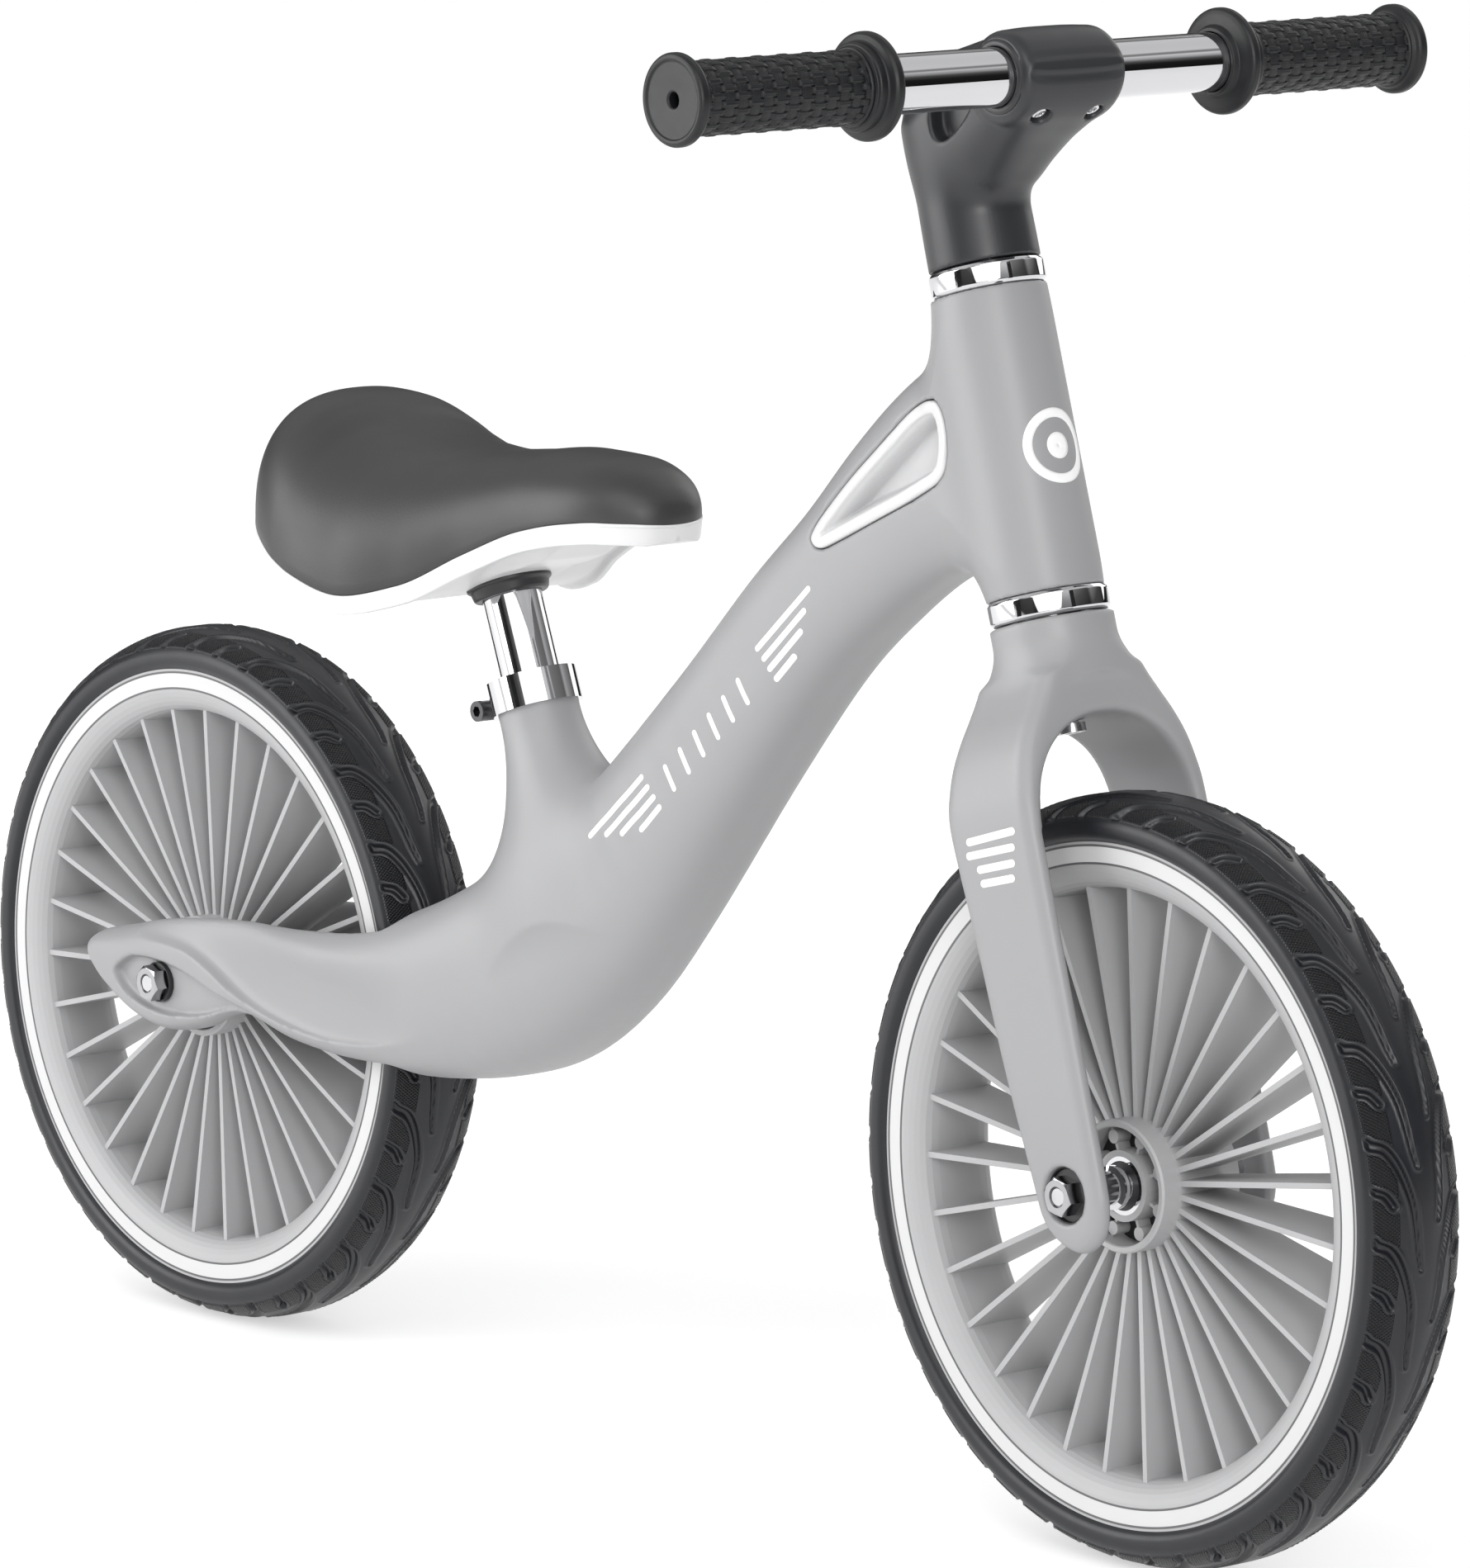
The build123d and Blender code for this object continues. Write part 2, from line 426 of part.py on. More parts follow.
# plan outline half widths, rim height, crown height along the saddle
SADDLE = [  # x, half width, rim z, crown z
    (67.0, 10.0, 226.0, 232.0), (71.5, 30.0, 222.0, 241.0), (80.0, 50.0, 214.0, 250.0), (98.0, 64.0, 201.0, 252.0), (122.0, 70.0, 189.0, 247.5),
    (148.0, 65.0, 181.0, 240.5), (176.0, 52.0, 184.0, 235.0), (204.0, 40.0, 195.0, 235.5), (232.0, 33.5, 206.0, 239.5),
    (256.0, 31.0, 211.0, 241.0), (272.0, 26.5, 213.0, 238.0), (283.0, 17.0, 214.5, 231.0), (287.5, 5.0, 215.0, 222.0)]


def saddle_wire(x, w, zr, zc, grow=0.0):
    top = zc - zr
    pts = []
    for k in range(20):
        ph = 2 * math.pi * k / 20
        c, s = math.cos(ph), math.sin(ph)
        y = w * math.copysign(abs(c) ** 0.8, c)
        if s >= 0:
            z = zr + top * abs(s) ** 0.75
        else:
            z = zr - 7.0 * abs(s) ** 0.8
        pts.append((x, y, z))
    return Wire([Edge.make_spline(pts, periodic=True)])


saddle = Solid.make_loft([saddle_wire(*q) for q in SADDLE])
rim_line = [(40.0, 232.0)] + [(x, zr) for x, w, zr, zc in SADDLE[1:-1]] + [(310.0, 216.0)]
above = make_face(Spline(*rim_line) + Polyline((310.0, 216.0), (310.0, 330.0), (40.0, 330.0), (40.0, 232.0)))
upper_half = extrude(XZ * above, amount=120, both=True)
cushion = saddle & upper_half
base = saddle - upper_half
boss = cyl(POST_PLANE, 21.0, 9.7, 18.0)
hump_pts = [(150, 186.5), (168, 184.5), (190, 184.6), (214, 187.5), (232, 191.5), (246, 200), (254, 212.0), (150.0, 196.0)]
under = make_face(Polyline(*hump_pts, close=True))
hump = extrude(XZ * under, amount=25, both=True)
hump = soften(hump, lambda q: [e for e in q.edges() if abs(e.center().Y) > 20 and e.length > 8], (6.0, 4.0, 2.0))
base = (base + (hump - upper_half) + boss) - cyl(POST_PLANE, 17.3, -30, 9.6) - cyl(POST_PLANE, 16.4, 5.0, 14.0) - cyl(POST_PLANE, POST_R, -10, 14.0)
big = sorted(base.solids(), key=lambda q: q.volume)[-1]
big = big - cyl(POST_PLANE, 2.5, 10.0, 24.0) - cyl(POST_PLANE, 4.6, 24.0, 27.0)
put("saddle_base", big)
cushion = cushion - boss - cyl(POST_PLANE, 17.3, -30, 9.7) - cyl(POST_PLANE, 5.2, 10.0, 27.6)
put("saddle_cushion", cushion)
low_plug = cyl(POST_PLANE, POST_R - 1.5, -111.9, -103.0) + cyl(POST_PLANE, POST_R, -114.0, -112.0)
top_plug = cyl(POST_PLANE, POST_R - 1.5, -2.0, 14.0) - cyl(POST_PLANE, 2.5, -3.0, 15.0)
put("seat_post_plugs", Compound(children=[(Part() + low_plug).solids()[0], (Part() + top_plug).solids()[0]]))
put("saddle_bolt", cyl(POST_PLANE, 2.5, -4.0, 24.0) + cyl(POST_PLANE, 4.6, 24.0, 27.0))

# --------------------------------------------------------------------- the files
os.makedirs("parts", exist_ok=True)
MOVE = Location((X0, 0, Z0))
for name, shape in PARTS.items():
    moved = MOVE * shape
    solids = moved.solids()
    out = solids[0] if len(solids) == 1 else Compound(children=list(solids))
    export_step(out, "parts/" + name + ".step")
print(len(PARTS), "nodes")
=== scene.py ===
import math

import bpy
import numpy as np
import openvdb as vdb
from mathutils import Matrix, Vector

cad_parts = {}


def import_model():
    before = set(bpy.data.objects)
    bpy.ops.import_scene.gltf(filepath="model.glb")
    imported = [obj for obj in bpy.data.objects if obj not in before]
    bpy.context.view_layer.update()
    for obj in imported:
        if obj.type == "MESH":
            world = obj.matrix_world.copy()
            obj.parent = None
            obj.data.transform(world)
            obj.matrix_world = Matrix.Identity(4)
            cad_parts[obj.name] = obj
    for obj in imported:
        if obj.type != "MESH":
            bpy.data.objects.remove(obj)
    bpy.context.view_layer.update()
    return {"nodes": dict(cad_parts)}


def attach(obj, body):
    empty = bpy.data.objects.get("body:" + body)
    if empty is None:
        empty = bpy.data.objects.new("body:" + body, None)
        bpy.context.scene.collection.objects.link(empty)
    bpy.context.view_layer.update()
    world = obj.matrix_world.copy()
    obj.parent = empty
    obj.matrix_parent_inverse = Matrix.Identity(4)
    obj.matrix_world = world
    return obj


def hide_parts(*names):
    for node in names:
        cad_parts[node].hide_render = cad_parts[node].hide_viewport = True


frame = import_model()
NODES = frame["nodes"]

# ---------------------------------------------------------------- dimensions, mm, from the rear axle
X0, Z0 = -281.785, 144.5
WB = 563.57
SA = math.radians(73.63)
TX, TZ = math.sin(SA), math.cos(SA)
SX, SZ = -math.cos(SA), math.sin(SA)
PA = math.radians(69.0)
PX, PZ = -math.cos(PA), math.sin(PA)
QX, QZ = math.sin(PA), math.cos(PA)
SEAT_X, SEAT_Z = 185.1, 176.0
HEAD_S0, HEAD_S1 = 220.9, 335.4


def smin(a, b, k):
    h = np.maximum(k - np.abs(a - b), 0.0) / k
    return np.minimum(a, b) - h * h * (k * 0.25)


def smax(a, b, k):
    return -smin(-a, -b, k)


def ss(x, lo, hi):
    t = np.clip((x - lo) / (hi - lo), 0.0, 1.0)
    return t * t * (3 - 2 * t)


def spline(pts, count, closed=False):
    """Catmull-Rom curve through points of any width."""
    p = np.asarray(pts, float)
    n = len(p)
    if closed:
        idx = np.arange(count) / count * n
    else:
        idx = np.linspace(0, n - 1, count)
    i = np.floor(idx).astype(int)
    if not closed:
        i = np.minimum(i, n - 2)
    f = (idx - i)[:, None]
    if closed:
        g = lambda k: p[(i + k) % n]
    else:
        q = np.vstack([2 * p[0] - p[1], p, 2 * p[-1] - p[-2]])
        g = lambda k: q[i + k + 1]
    a, b, c, d = g(-1), g(0), g(1), g(2)
    return 0.5 * ((2 * b) + (c - a) * f + (2 * a - 5 * b + 4 * c - d) * f ** 2 + (3 * b - 3 * c + d - a) * f ** 3)


def poly_sdf(poly, X, Z):
    """Signed distance to a closed polygon, negative inside."""
    p = np.asarray(poly, float)
    best = np.full(X.shape, 1e9)
    sign = np.zeros(X.shape, bool)
    for k in range(len(p)):
        ax, az = p[k]
        bx, bz = p[(k + 1) % len(p)]
        ex, ez = bx - ax, bz - az
        wx, wz = X - ax, Z - az
        L = ex * ex + ez * ez
        if L < 1e-12:
            continue
        t = np.clip((wx * ex + wz * ez) / L, 0, 1)
        dx, dz = wx - ex * t, wz - ez * t
        best = np.minimum(best, dx * dx + dz * dz)
        if az != bz:
            cross = ((az > Z) != (bz > Z)) & (X < (bx - ax) * (Z - az) / (bz - az) + ax)
            sign ^= cross
    d = np.sqrt(best)
    return np.where(sign, -d, d)


def line_dist(line, X, Z):
    """Distance to an open line, and how far along it (0 to 1)."""
    p = np.asarray(line, float)
    best = np.full(X.shape, 1e9)
    along = np.zeros(X.shape)
    n = len(p) - 1
    for k in range(n):
        ax, az = p[k]
        ex, ez = p[k + 1] - p[k]
        L = ex * ex + ez * ez
        t = np.clip(((X - ax) * ex + (Z - az) * ez) / L, 0, 1)
        d = np.hypot(X - ax - ex * t, Z - az - ez * t)
        m = d < best
        best = np.where(m, d, best)
        along = np.where(m, (k + t) / n, along)
    return best, along


FRAME_SECTIONS = [
    (-53.0, 8.0, 0, 3.0, 40.5, 2.6), (-49.0, 7.0, 0, 8.5, 41.8, 3.0), (-40.0, 4.6, 0, 14.5, 42.3, 3.4), (-22.0, 2.0, 0, 21.0, 42.5, 4.2),
    (0.0, 2.6, 0, 24.8, 42.5, 5.0), (26.0, 6.6, 0, 24.2, 42.4, 5.0), (52.0, 12.4, 0, 20.8, 42.2, 4.6), (85.0, 9.6, 0, 25.6, 42.0, 4.0),
    (125.0, 10.6, 0, 30.6, 41.4, 3.4), (165.0, 17.5, 6, 37.0, 39.0, 3.0), (203.0, 31.0, 16, 41.5, 34.0, 2.8), (238.5, 53.5, 30, 40.5, 28.6, 2.7),
    (274.0, 86.0, 41, 36.0, 24.8, 2.8), (324.7, 139.9, 46.5, 30.2, 22.8, 3.0), (366.9, 184.3, 46, 28.3, 22.2, 3.0), (398.9, 212.0, 44.5, 29.1, 21.8, 3.0),
    (426.7, 235.1, 42, 33.1, 21.4, 3.0), (452.8, 251.7, 33, 38.5, 20.8, 3.0), (480.0, 264.0, 20, 44.0, 19.0, 3.0)]
LEAF = [(-26.5, 3.2), (-16.8, 9.0), (-5.4, 10.1), (6, 9.5), (21.1, 7), (39.9, 1.6), (58.4, -4.4), (45.4, -5.3), (30.3, -9.8), (17.1, -12), (1.9, -12.5),
        (-11.4, -10.3), (-20.9, -6.4), (-26.6, -1.4)]
CREST = [(-16.0, 17.2), (-6.5, 17.0), (18.2, 16.0), (35, 10.7), (51.8, 2.7), (68.4, -2.9), (88.6, -6.8), (110.6, -8.7), (135.9, -7.6), (159.3, -2.8), (178.0, 5.0)]
TRIM = [(391.3, 223.6), (394.4, 229.4), (402.6, 238.1), (414.2, 249.3), (425.0, 258.6), (435.4, 267.7), (444.7, 275.8), (451.3, 279.8), (456.9, 281.5), (461.6, 281.1),
        (465.7, 276.5), (467.7, 269.9), (467.8, 263.1), (466.3, 256.2), (462.4, 251.2), (455.6, 247.0), (443.8, 240.8), (430.3, 234.5), (416.7, 228.1), (405.0, 222.7),
        (398.1, 220.0), (393.7, 220.4)]


def frame_fields(X, Z):
    """2-D fields of the frame on a grid of x, z: profile distance, half height, half width, squareness, carving depth."""
    st = spline([q for q in FRAME_SECTIONS], 160)
    th = np.radians(st[:, 2])
    nx, nz = -np.sin(th), np.cos(th)
    top = np.stack([st[:, 0] + nx * st[:, 3], st[:, 1] + nz * st[:, 3]], 1)
    bot = np.stack([st[:, 0] - nx * st[:, 3], st[:, 1] - nz * st[:, 3]], 1)
    d2 = poly_sdf(np.vstack([top, bot[::-1]]), X, Z)
    wsum = np.zeros(X.shape)
    acc = [np.zeros(X.shape) for _ in range(3)]
    for k in range(0, 160, 2):
        # weight falls with distance along the spine only
        ca, cz, a = st[k, 0], st[k, 1], st[k, 3]
        along = (X - ca) * nz[k] - (Z - cz) * nx[k]
        across = (X - ca) * nx[k] + (Z - cz) * nz[k]
        w = np.exp(-(along / 7.0) ** 2 - (np.maximum(np.abs(across) - a, 0) / 26.0) ** 2) + 1e-12 * np.exp(-np.minimum(np.hypot(along, across) / 60.0, 40))
        wsum += w
        for j, col in enumerate((3, 4, 5)):
            acc[j] += w * st[k, col]
    a, b, n = [q / wsum for q in acc]
    d_leaf = poly_sdf(spline(LEAF, 120, True), X, Z)
    d_crest, along_crest = line_dist(spline(CREST, 80), X, Z)
    above = poly_sdf(np.vstack([spline(CREST, 60), [(185.0, 60.0), (-25.0, 60.0)]]), X, Z)
    scoop = 6.0 * (1 - np.exp(-np.maximum(-above, 0) / 4.6)) * (1 - ss(d_crest, 8.0, 38.0)) * ss(along_crest, 0.0, 0.3) * (1 - ss(along_crest, 0.7, 1.0))
    carve = 2.6 * ss(-d_leaf, -0.4, 1.5) + scoop
    return d2, a, b, n, carve


def frame_field(X, Z, Y, fields, pocket=True):
    """Distance to the frame on x, z (2-D) and y (1-D, from 0): shape (x, y, z)."""
    d2, a, b, n, carve = [f.astype(np.float32)[:, None, :] for f in fields]
    X3, Z3 = X.astype(np.float32)[:, None, :], Z.astype(np.float32)[:, None, :]
    Y3 = Y.astype(np.float32)[None, :, None]
    u = np.maximum(1 + d2 / a, 0.0)
    v = Y3 / b
    F = np.power(np.power(u, n) + np.power(v, n) + 1e-9, 1.0 / n) - 1.0
    F = F * np.minimum(a, b)
    F = F + carve * ss(Y3, b - 8.0, b - 3.0)
    t = (X3 - WB) * TX + Z3 * TZ
    s = (X3 - WB) * SX + Z3 * SZ
    rad = np.sqrt(t * t + Y3 * Y3)
    head = smax(rad - 21.2, np.abs(s - (HEAD_S0 + HEAD_S1) / 2) - (HEAD_S1 - HEAD_S0) / 2, 1.2)
    F = smin(F, head, 17.0)
    F = np.maximum(F, -np.maximum(HEAD_S1 - s, np.abs(t) - 60))
    F = np.maximum(F, -np.maximum(s - HEAD_S0, np.abs(t) - 60))
    q = (X3 - SEAT_X) * QX + (Z3 - SEAT_Z) * QZ
    p = (X3 - SEAT_X) * PX + (Z3 - SEAT_Z) * PZ
    rt = 16.3 + 2.0 * ss(-p, 48.0, 80.0)
    radp = np.sqrt(q * q + Y3 * Y3)
    tube = np.maximum(np.maximum(radp - rt, p + 33.2), -118 - p)
    F = smin(F, tube, 30.0)
    F = np.maximum(F, -np.maximum(-33.2 - p, radp - 40))
    # wheel slot with rounded corners
    rr = np.sqrt(X3 * X3 + Z3 * Z3)
    qx, qy = rr - 150.5 + 9.0, Y3 - 28.5 + 9.0
    slot = np.sqrt(np.maximum(qx, 0) ** 2 + np.maximum(qy, 0) ** 2) + np.minimum(np.maximum(qx, qy), 0) - 9.0
    F = smax(F, -slot, 5.0)
    if pocket:
        d_trim = poly_sdf(spline(TRIM, 120, True), X, Z).astype(np.float32)[:, None, :]
        F = np.maximum(F, -np.maximum(d_trim - 0.4, 10.0 - Y3))
    F = np.maximum(F, -np.maximum(radp - 12.3, -146 - p))
    F = np.maximum(F, 16.4 - rad)
    F = np.maximum(F, -np.maximum(rr - 8.4, 37.8 - Y3))
    F = np.maximum(F, 4.1 - rr)
    return F


# fork in its own coordinates: t forward, y across, s up the axis
FORK_OUT_S = [(210.8, 21.2), (203.0, 21.6), (196.0, 23.0), (188.0, 26.6), (180.0, 31.6), (172.0, 36.8), (163.0, 41.3), (153.0, 44.3), (142.0, 46.0), (120.0, 46.2),
              (60.0, 46.0), (-26.0, 46.0)]
FORK_IN_S = [(-30.0, 38.4), (118.0, 38.4), (130.0, 38.2), (143.0, 36.8), (153.5, 33.4), (162.5, 27.0), (169.0, 18.0), (172.2, 8.0), (172.8, 0.0)]
FORK_SIDE = [(-21.2, 214), (-21.6, 200), (-22.6, 188), (-24.6, 174), (-27.4, 158), (-29.0, 145), (-28.6, 130), (-26.4, 100), (-23.7, 50), (-19.6, 8), (-17.6, -7),
             (-12.2, -15.8), (-3, -22.0), (5, -22.8), (13, -18.8), (17.8, -10), (19.3, 4), (19.4, 60), (19.5, 130), (19.9, 160), (20.6, 185), (21.2, 200), (21.3, 214)]


def fork_fields(T, S, Y, S2):
    side = poly_sdf(spline(FORK_SIDE, 260), T, S)
    out = np.asarray(FORK_OUT_S)
    inn = np.asarray(FORK_IN_S)
    oc = spline(np.vstack([out[:, ::-1], [(46.0, -60)]]), 200)
    poly_o = np.vstack([oc, [(-60, -60), (-60, 214), (21.2, 214)]])
    ic = spline(inn[:, ::-1], 160)
    poly_i = np.vstack([ic, [(-60, 172.8), (-60, -60), (38.4, -60)]])
    fo = poly_sdf(poly_o, Y, S2)
    fi = poly_sdf(poly_i, Y, S2)
    return side, fo, fi


def fork_field(T, S, Y, fields):
    side, fo, fi = fields
    side = side.astype(np.float32)[:, None, :]
    fo = fo.astype(np.float32)[None, :, :]
    fi = fi.astype(np.float32)[None, :, :]
    T3, S3, Y3 = T.astype(np.float32)[:, None, :], S.astype(np.float32)[:, None, :], Y.astype(np.float32)[None, :, None]
    F = smax(side, fo, 8.0)
    rad = np.sqrt(T3 * T3 + Y3 * Y3)
    F = np.where(S3 > 186, smax(F, rad - 21.4 - 9.0 * (1 - ss(S3, 184, 204)) - 26 * (1 - ss(S3, 176, 194)), 3.0), F)
    F = smin(F, np.maximum(rad - 21.4, 190 - S3), 8.0)
    F = smax(F, -fi, 5.0)
    F = smax(F, S3 - 210.8, 1.0)
    F = np.maximum(F, -np.maximum(rad - 12.8, 184 - S3))
    rr = np.sqrt(T3 * T3 + S3 * S3)
    F = np.maximum(F, -np.maximum(rr - 10.7, 41.5 - Y3))
    F = np.maximum(F, 4.1 - rr)
    F = np.maximum(F, 3.3 - rad)
    return F


STEM_HOOD = [  # forward of the axis, bottom, top, half width, squareness
    (-20.6, 388.0, 400.0, 2.5, 2.0), (-20.0, 380.0, 408.0, 7.0, 2.1), (-16.0, 371.0, 417.0, 13.6, 2.2), (-9.0, 366.0, 422.2, 18.6, 2.3),
    (0.0, 364.0, 424.6, 20.8, 2.4), (12.0, 365.0, 425.2, 21.3, 2.5), (22.0, 368.5, 425.2, 21.7, 2.6), (32.0, 375.0, 425.0, 22.3, 2.8),
    (43.0, 381.0, 424.4, 23.2, 3.0), (53.0, 385.4, 423.4, 24.0, 3.4), (61.0, 389.2, 421.2, 24.0, 3.6), (66.4, 393.8, 416.4, 23.4, 3.6),
    (69.4, 399.4, 411.8, 21.6, 3.4), (70.4, 404.8, 407.6, 18.0, 3.0)]
STEM_POCKET = [(8.5, 398), (9.5, 393.2), (13, 391.2), (19, 392.6), (25, 395), (31, 398.8), (34.5, 403), (33.5, 408.5), (28, 411.5), (16, 411), (10, 405)]
SCREW = (62.0, 383.5, 13.0, 53.0, 406.4)


def stem_field(T, S, Y):
    h = np.asarray(STEM_HOOD)
    t1 = T[:, 0]
    lo, hi, b, n = [np.interp(t1, spline(h, 300)[:, 0], spline(h, 300)[:, k])[:, None, None].astype(np.float32) for k in (1, 2, 3, 4)]
    pk = poly_sdf(spline(STEM_POCKET, 120, True), T, S).astype(np.float32)[:, None, :]
    T3, S3, Y3 = T.astype(np.float32)[:, None, :], S.astype(np.float32)[:, None, :], Y.astype(np.float32)[None, :, None]
    hh = (hi - lo) / 2
    u = np.abs(S3 - (lo + hi) / 2) / hh
    v = Y3 / b
    hood = (np.power(np.power(u, n) + np.power(v, n) + 1e-9, 1 / n) - 1) * np.minimum(hh, b)
    hood = np.maximum(hood, np.maximum(T3 - 70.5, -20.7 - T3))
    rad = np.sqrt(T3 * T3 + Y3 * Y3)
    rs = 21.1 - 0.8 * ss(S3, 345, 404)
    sleeve = smax(rad - rs, S3 - 402.0, 4.0)
    F = smin(hood, sleeve, 5.0)
    rb = np.sqrt((T3 - 53.0) ** 2 + (S3 - 406.4) ** 2)
    barrel = smax(rb - 17.0, Y3 - 24.2, 5.0)
    F = smin(F, barrel, 3.0)
    F = smax(F, -smax(pk, 14.4 - Y3, 2.5), 1.6)
    F = smax(F, 345.4 - S3, 1.0)
    F = np.maximum(F, -smax(rb - 13.2, 21.6 - Y3, 0.8))
    F = np.maximum(F, 11.15 - rb)
    F = np.maximum(F, -np.maximum(rad - 12.8, S3 - 396))
    t0, s0, yy, t1_, s1_ = SCREW
    L = math.hypot(t1_ - t0, s1_ - s0)
    ux, us = (t1_ - t0) / L, (s1_ - s0) / L
    hgt = (T3 - t0) * ux + (S3 - s0) * us
    g = (T3 - t0) * us - (S3 - s0) * ux
    rh = np.sqrt(g * g + (Y3 - yy) ** 2)
    F = smax(F, -np.maximum(rh - 3.8, hgt - 11.0), 1.0)
    return F


def pchip(x, xp, yp):
    """Smooth monotone interpolation through points."""
    xp, yp, x = np.asarray(xp, float), np.asarray(yp, float), np.asarray(x, float)
    h = np.diff(xp)
    d = np.diff(yp) / h
    m = np.zeros(len(xp))
    w1, w2 = 2 * h[1:] + h[:-1], h[1:] + 2 * h[:-1]
    ok = d[:-1] * d[1:] > 0
    with np.errstate(divide="ignore", invalid="ignore"):
        hm = (w1 + w2) / (w1 / d[:-1] + w2 / d[1:])
    m[1:-1] = np.where(ok, hm, 0.0)
    m[0], m[-1] = d[0], d[-1]
    i = np.clip(np.searchsorted(xp, x) - 1, 0, len(h) - 1)
    t = (x - xp[i]) / h[i]
    a = (1 + 2 * t) * (1 - t) ** 2
    b = t * (1 - t) ** 2
    c = t * t * (3 - 2 * t)
    e = t * t * (t - 1)
    return a * yp[i] + b * h[i] * m[i] + c * yp[i + 1] + e * h[i] * m[i + 1]

CAM_F = 11177.988714
CAM_R = (0.644334594, 0.764743601, 0.000393609923)
CAM_U = (-0.12179876, 0.10211337, 0.98728817)
CAM_B = (0.75498211, -0.63619186, 0.15894)
CAM_C = (3.01960387 - 0.281785, -2.27303781, 0.68623805 + 0.1445)


# ---------------------------------------------------------------- meshes
def world(P):
    P = np.asarray(P, float)
    return (P + np.array([X0, 0.0, Z0])) / 1000.0


def from_st(t, y, s):
    t, y, s = np.asarray(t, float), np.asarray(y, float), np.asarray(s, float)
    return np.stack([WB + TX * t + SX * s, y, TZ * t + SZ * s], -1)


def from_qp(q, y, p):
    q, y, p = np.asarray(q, float), np.asarray(y, float), np.asarray(p, float)
    return np.stack([SEAT_X + QX * q + PX * p, y, SEAT_Z + QZ * q + PZ * p], -1)


def volume(P, quads):
    v = 0.0
    for i, j, k in ((0, 1, 2), (0, 2, 3)):
        a, b, c = P[quads[:, i]], P[quads[:, j]], P[quads[:, k]]
        v += np.einsum("ij,ij->i", a, np.cross(b, c)).sum() / 6
    return v


def mesh_obj(name, P_mm, quads, body, mat, replaces=(), smooth=True, uv=None, attrs=None):
    P = world(P_mm)
    quads = np.asarray(quads, int)
    c = P.mean(0)
    if volume(P - c, quads) < 0:
        quads = quads[:, ::-1]
        if uv is not None:
            uv = uv.reshape(-1, 4, 2)[:, ::-1].reshape(-1, 2)
    me = bpy.data.meshes.new(name)
    me.vertices.add(len(P))
    me.vertices.foreach_set("co", P.astype(np.float32).ravel())
    me.loops.add(quads.size)
    me.loops.foreach_set("vertex_index", quads.astype(np.int32).ravel())
    me.polygons.add(len(quads))
    me.polygons.foreach_set("loop_start", np.arange(0, quads.size, 4, dtype=np.int32))
    me.polygons.foreach_set("loop_total", np.full(len(quads), 4, dtype=np.int32))
    me.polygons.foreach_set("use_smooth", np.full(len(quads), smooth, dtype=bool))
    me.update(calc_edges=True)
    me.validate()
    if uv is not None:
        layer = me.uv_layers.new(name="UVMap")
        layer.data.foreach_set("uv", uv.astype(np.float32).ravel())
    for key, val in (attrs or {}).items():
        at = me.attributes.new(key, "FLOAT", "POINT")
        at.data.foreach_set("value", np.asarray(val, np.float32).ravel())
    ob = bpy.data.objects.new(name, me)
    bpy.context.scene.collection.objects.link(ob)
    me.materials.append(mat)
    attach(ob, body)
    if replaces:
        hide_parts(*replaces)
    return ob


def grid_quads(nu, nv, wrap_u=True, wrap_v=False, flip=False):
    i = np.arange(nu if wrap_u else nu - 1)
    j = np.arange(nv if wrap_v else nv - 1)
    I, J = np.meshgrid(i, j, indexing="ij")
    I, J = I.ravel(), J.ravel()
    I2, J2 = (I + 1) % nu, (J + 1) % nv
    return np.stack([I * nv + J, I2 * nv + J, I2 * nv + J2, I * nv + J2], 1)


def iso(F_half, x0, z0, h):
    """Surface of a field given for y >= 0 and mirrored; returns local points (x, y, z) and quads."""
    full = np.concatenate([F_half[:, :0:-1, :], F_half], axis=1)
    ny = F_half.shape[1]
    full = np.clip(full, -3 * h, 3 * h).astype(np.float32)
    full = np.pad(full, 1, constant_values=3 * h)
    g = vdb.FloatGrid(3.0 * h)
    g.copyFromArray(np.ascontiguousarray(full / h))
    p, q = g.convertToQuads(0.0)
    p = np.asarray(p, float)
    P = np.stack([x0 + (p[:, 0] - 1) * h, (p[:, 1] - 1 - (ny - 1)) * h, z0 + (p[:, 2] - 1) * h], 1)
    return P, np.asarray(q, int)


def rounded(pts, rad):
    """Polyline with each corner eased; rad is one number or one per corner."""
    p = np.asarray(pts, float)
    n = len(p)
    r = np.full(n, rad, float) if np.isscalar(rad) else np.asarray(rad, float)
    out = []
    for i in range(n):
        a, b, c = p[(i - 1) % n], p[i], p[(i + 1) % n]
        la, lc = np.linalg.norm(a - b), np.linalg.norm(c - b)
        d = min(r[i], la * 0.45, lc * 0.45)
        if d < 1e-4:
            out.append(b)
            continue
        s, e = b + (a - b) / la * d, b + (c - b) / lc * d
        for t in (0, 0.2, 0.4, 0.6, 0.8, 1):
            out.append((1 - t) ** 2 * s + 2 * t * (1 - t) * b + t * t * e)
    return np.array(out)


def lathe(name, prof, place, body, mat, replaces=(), n=96, rad=0.5, uv=False):
    """Closed profile of (r, height) turned about an axis; place(r cos, r sin, h) gives the point."""
    pr = rounded(prof, rad)
    ph = np.arange(n) / n * 2 * math.pi
    R, H = pr[:, 0][None, :], pr[:, 1][None, :]
    P = place(R * np.cos(ph)[:, None], R * np.sin(ph)[:, None], H + 0 * ph[:, None]).reshape(-1, 3)
    q = grid_quads(n, len(pr), True, True)
    return mesh_obj(name, P, q, body, mat, replaces)


def on_y(x, z):
    return lambda a, b, h: np.stack([x + a, h, z + b], -1)


def on_steer(a, b, h):
    return from_st(a, b, h)


def on_post(a, b, h):
    return from_qp(a, b, h)


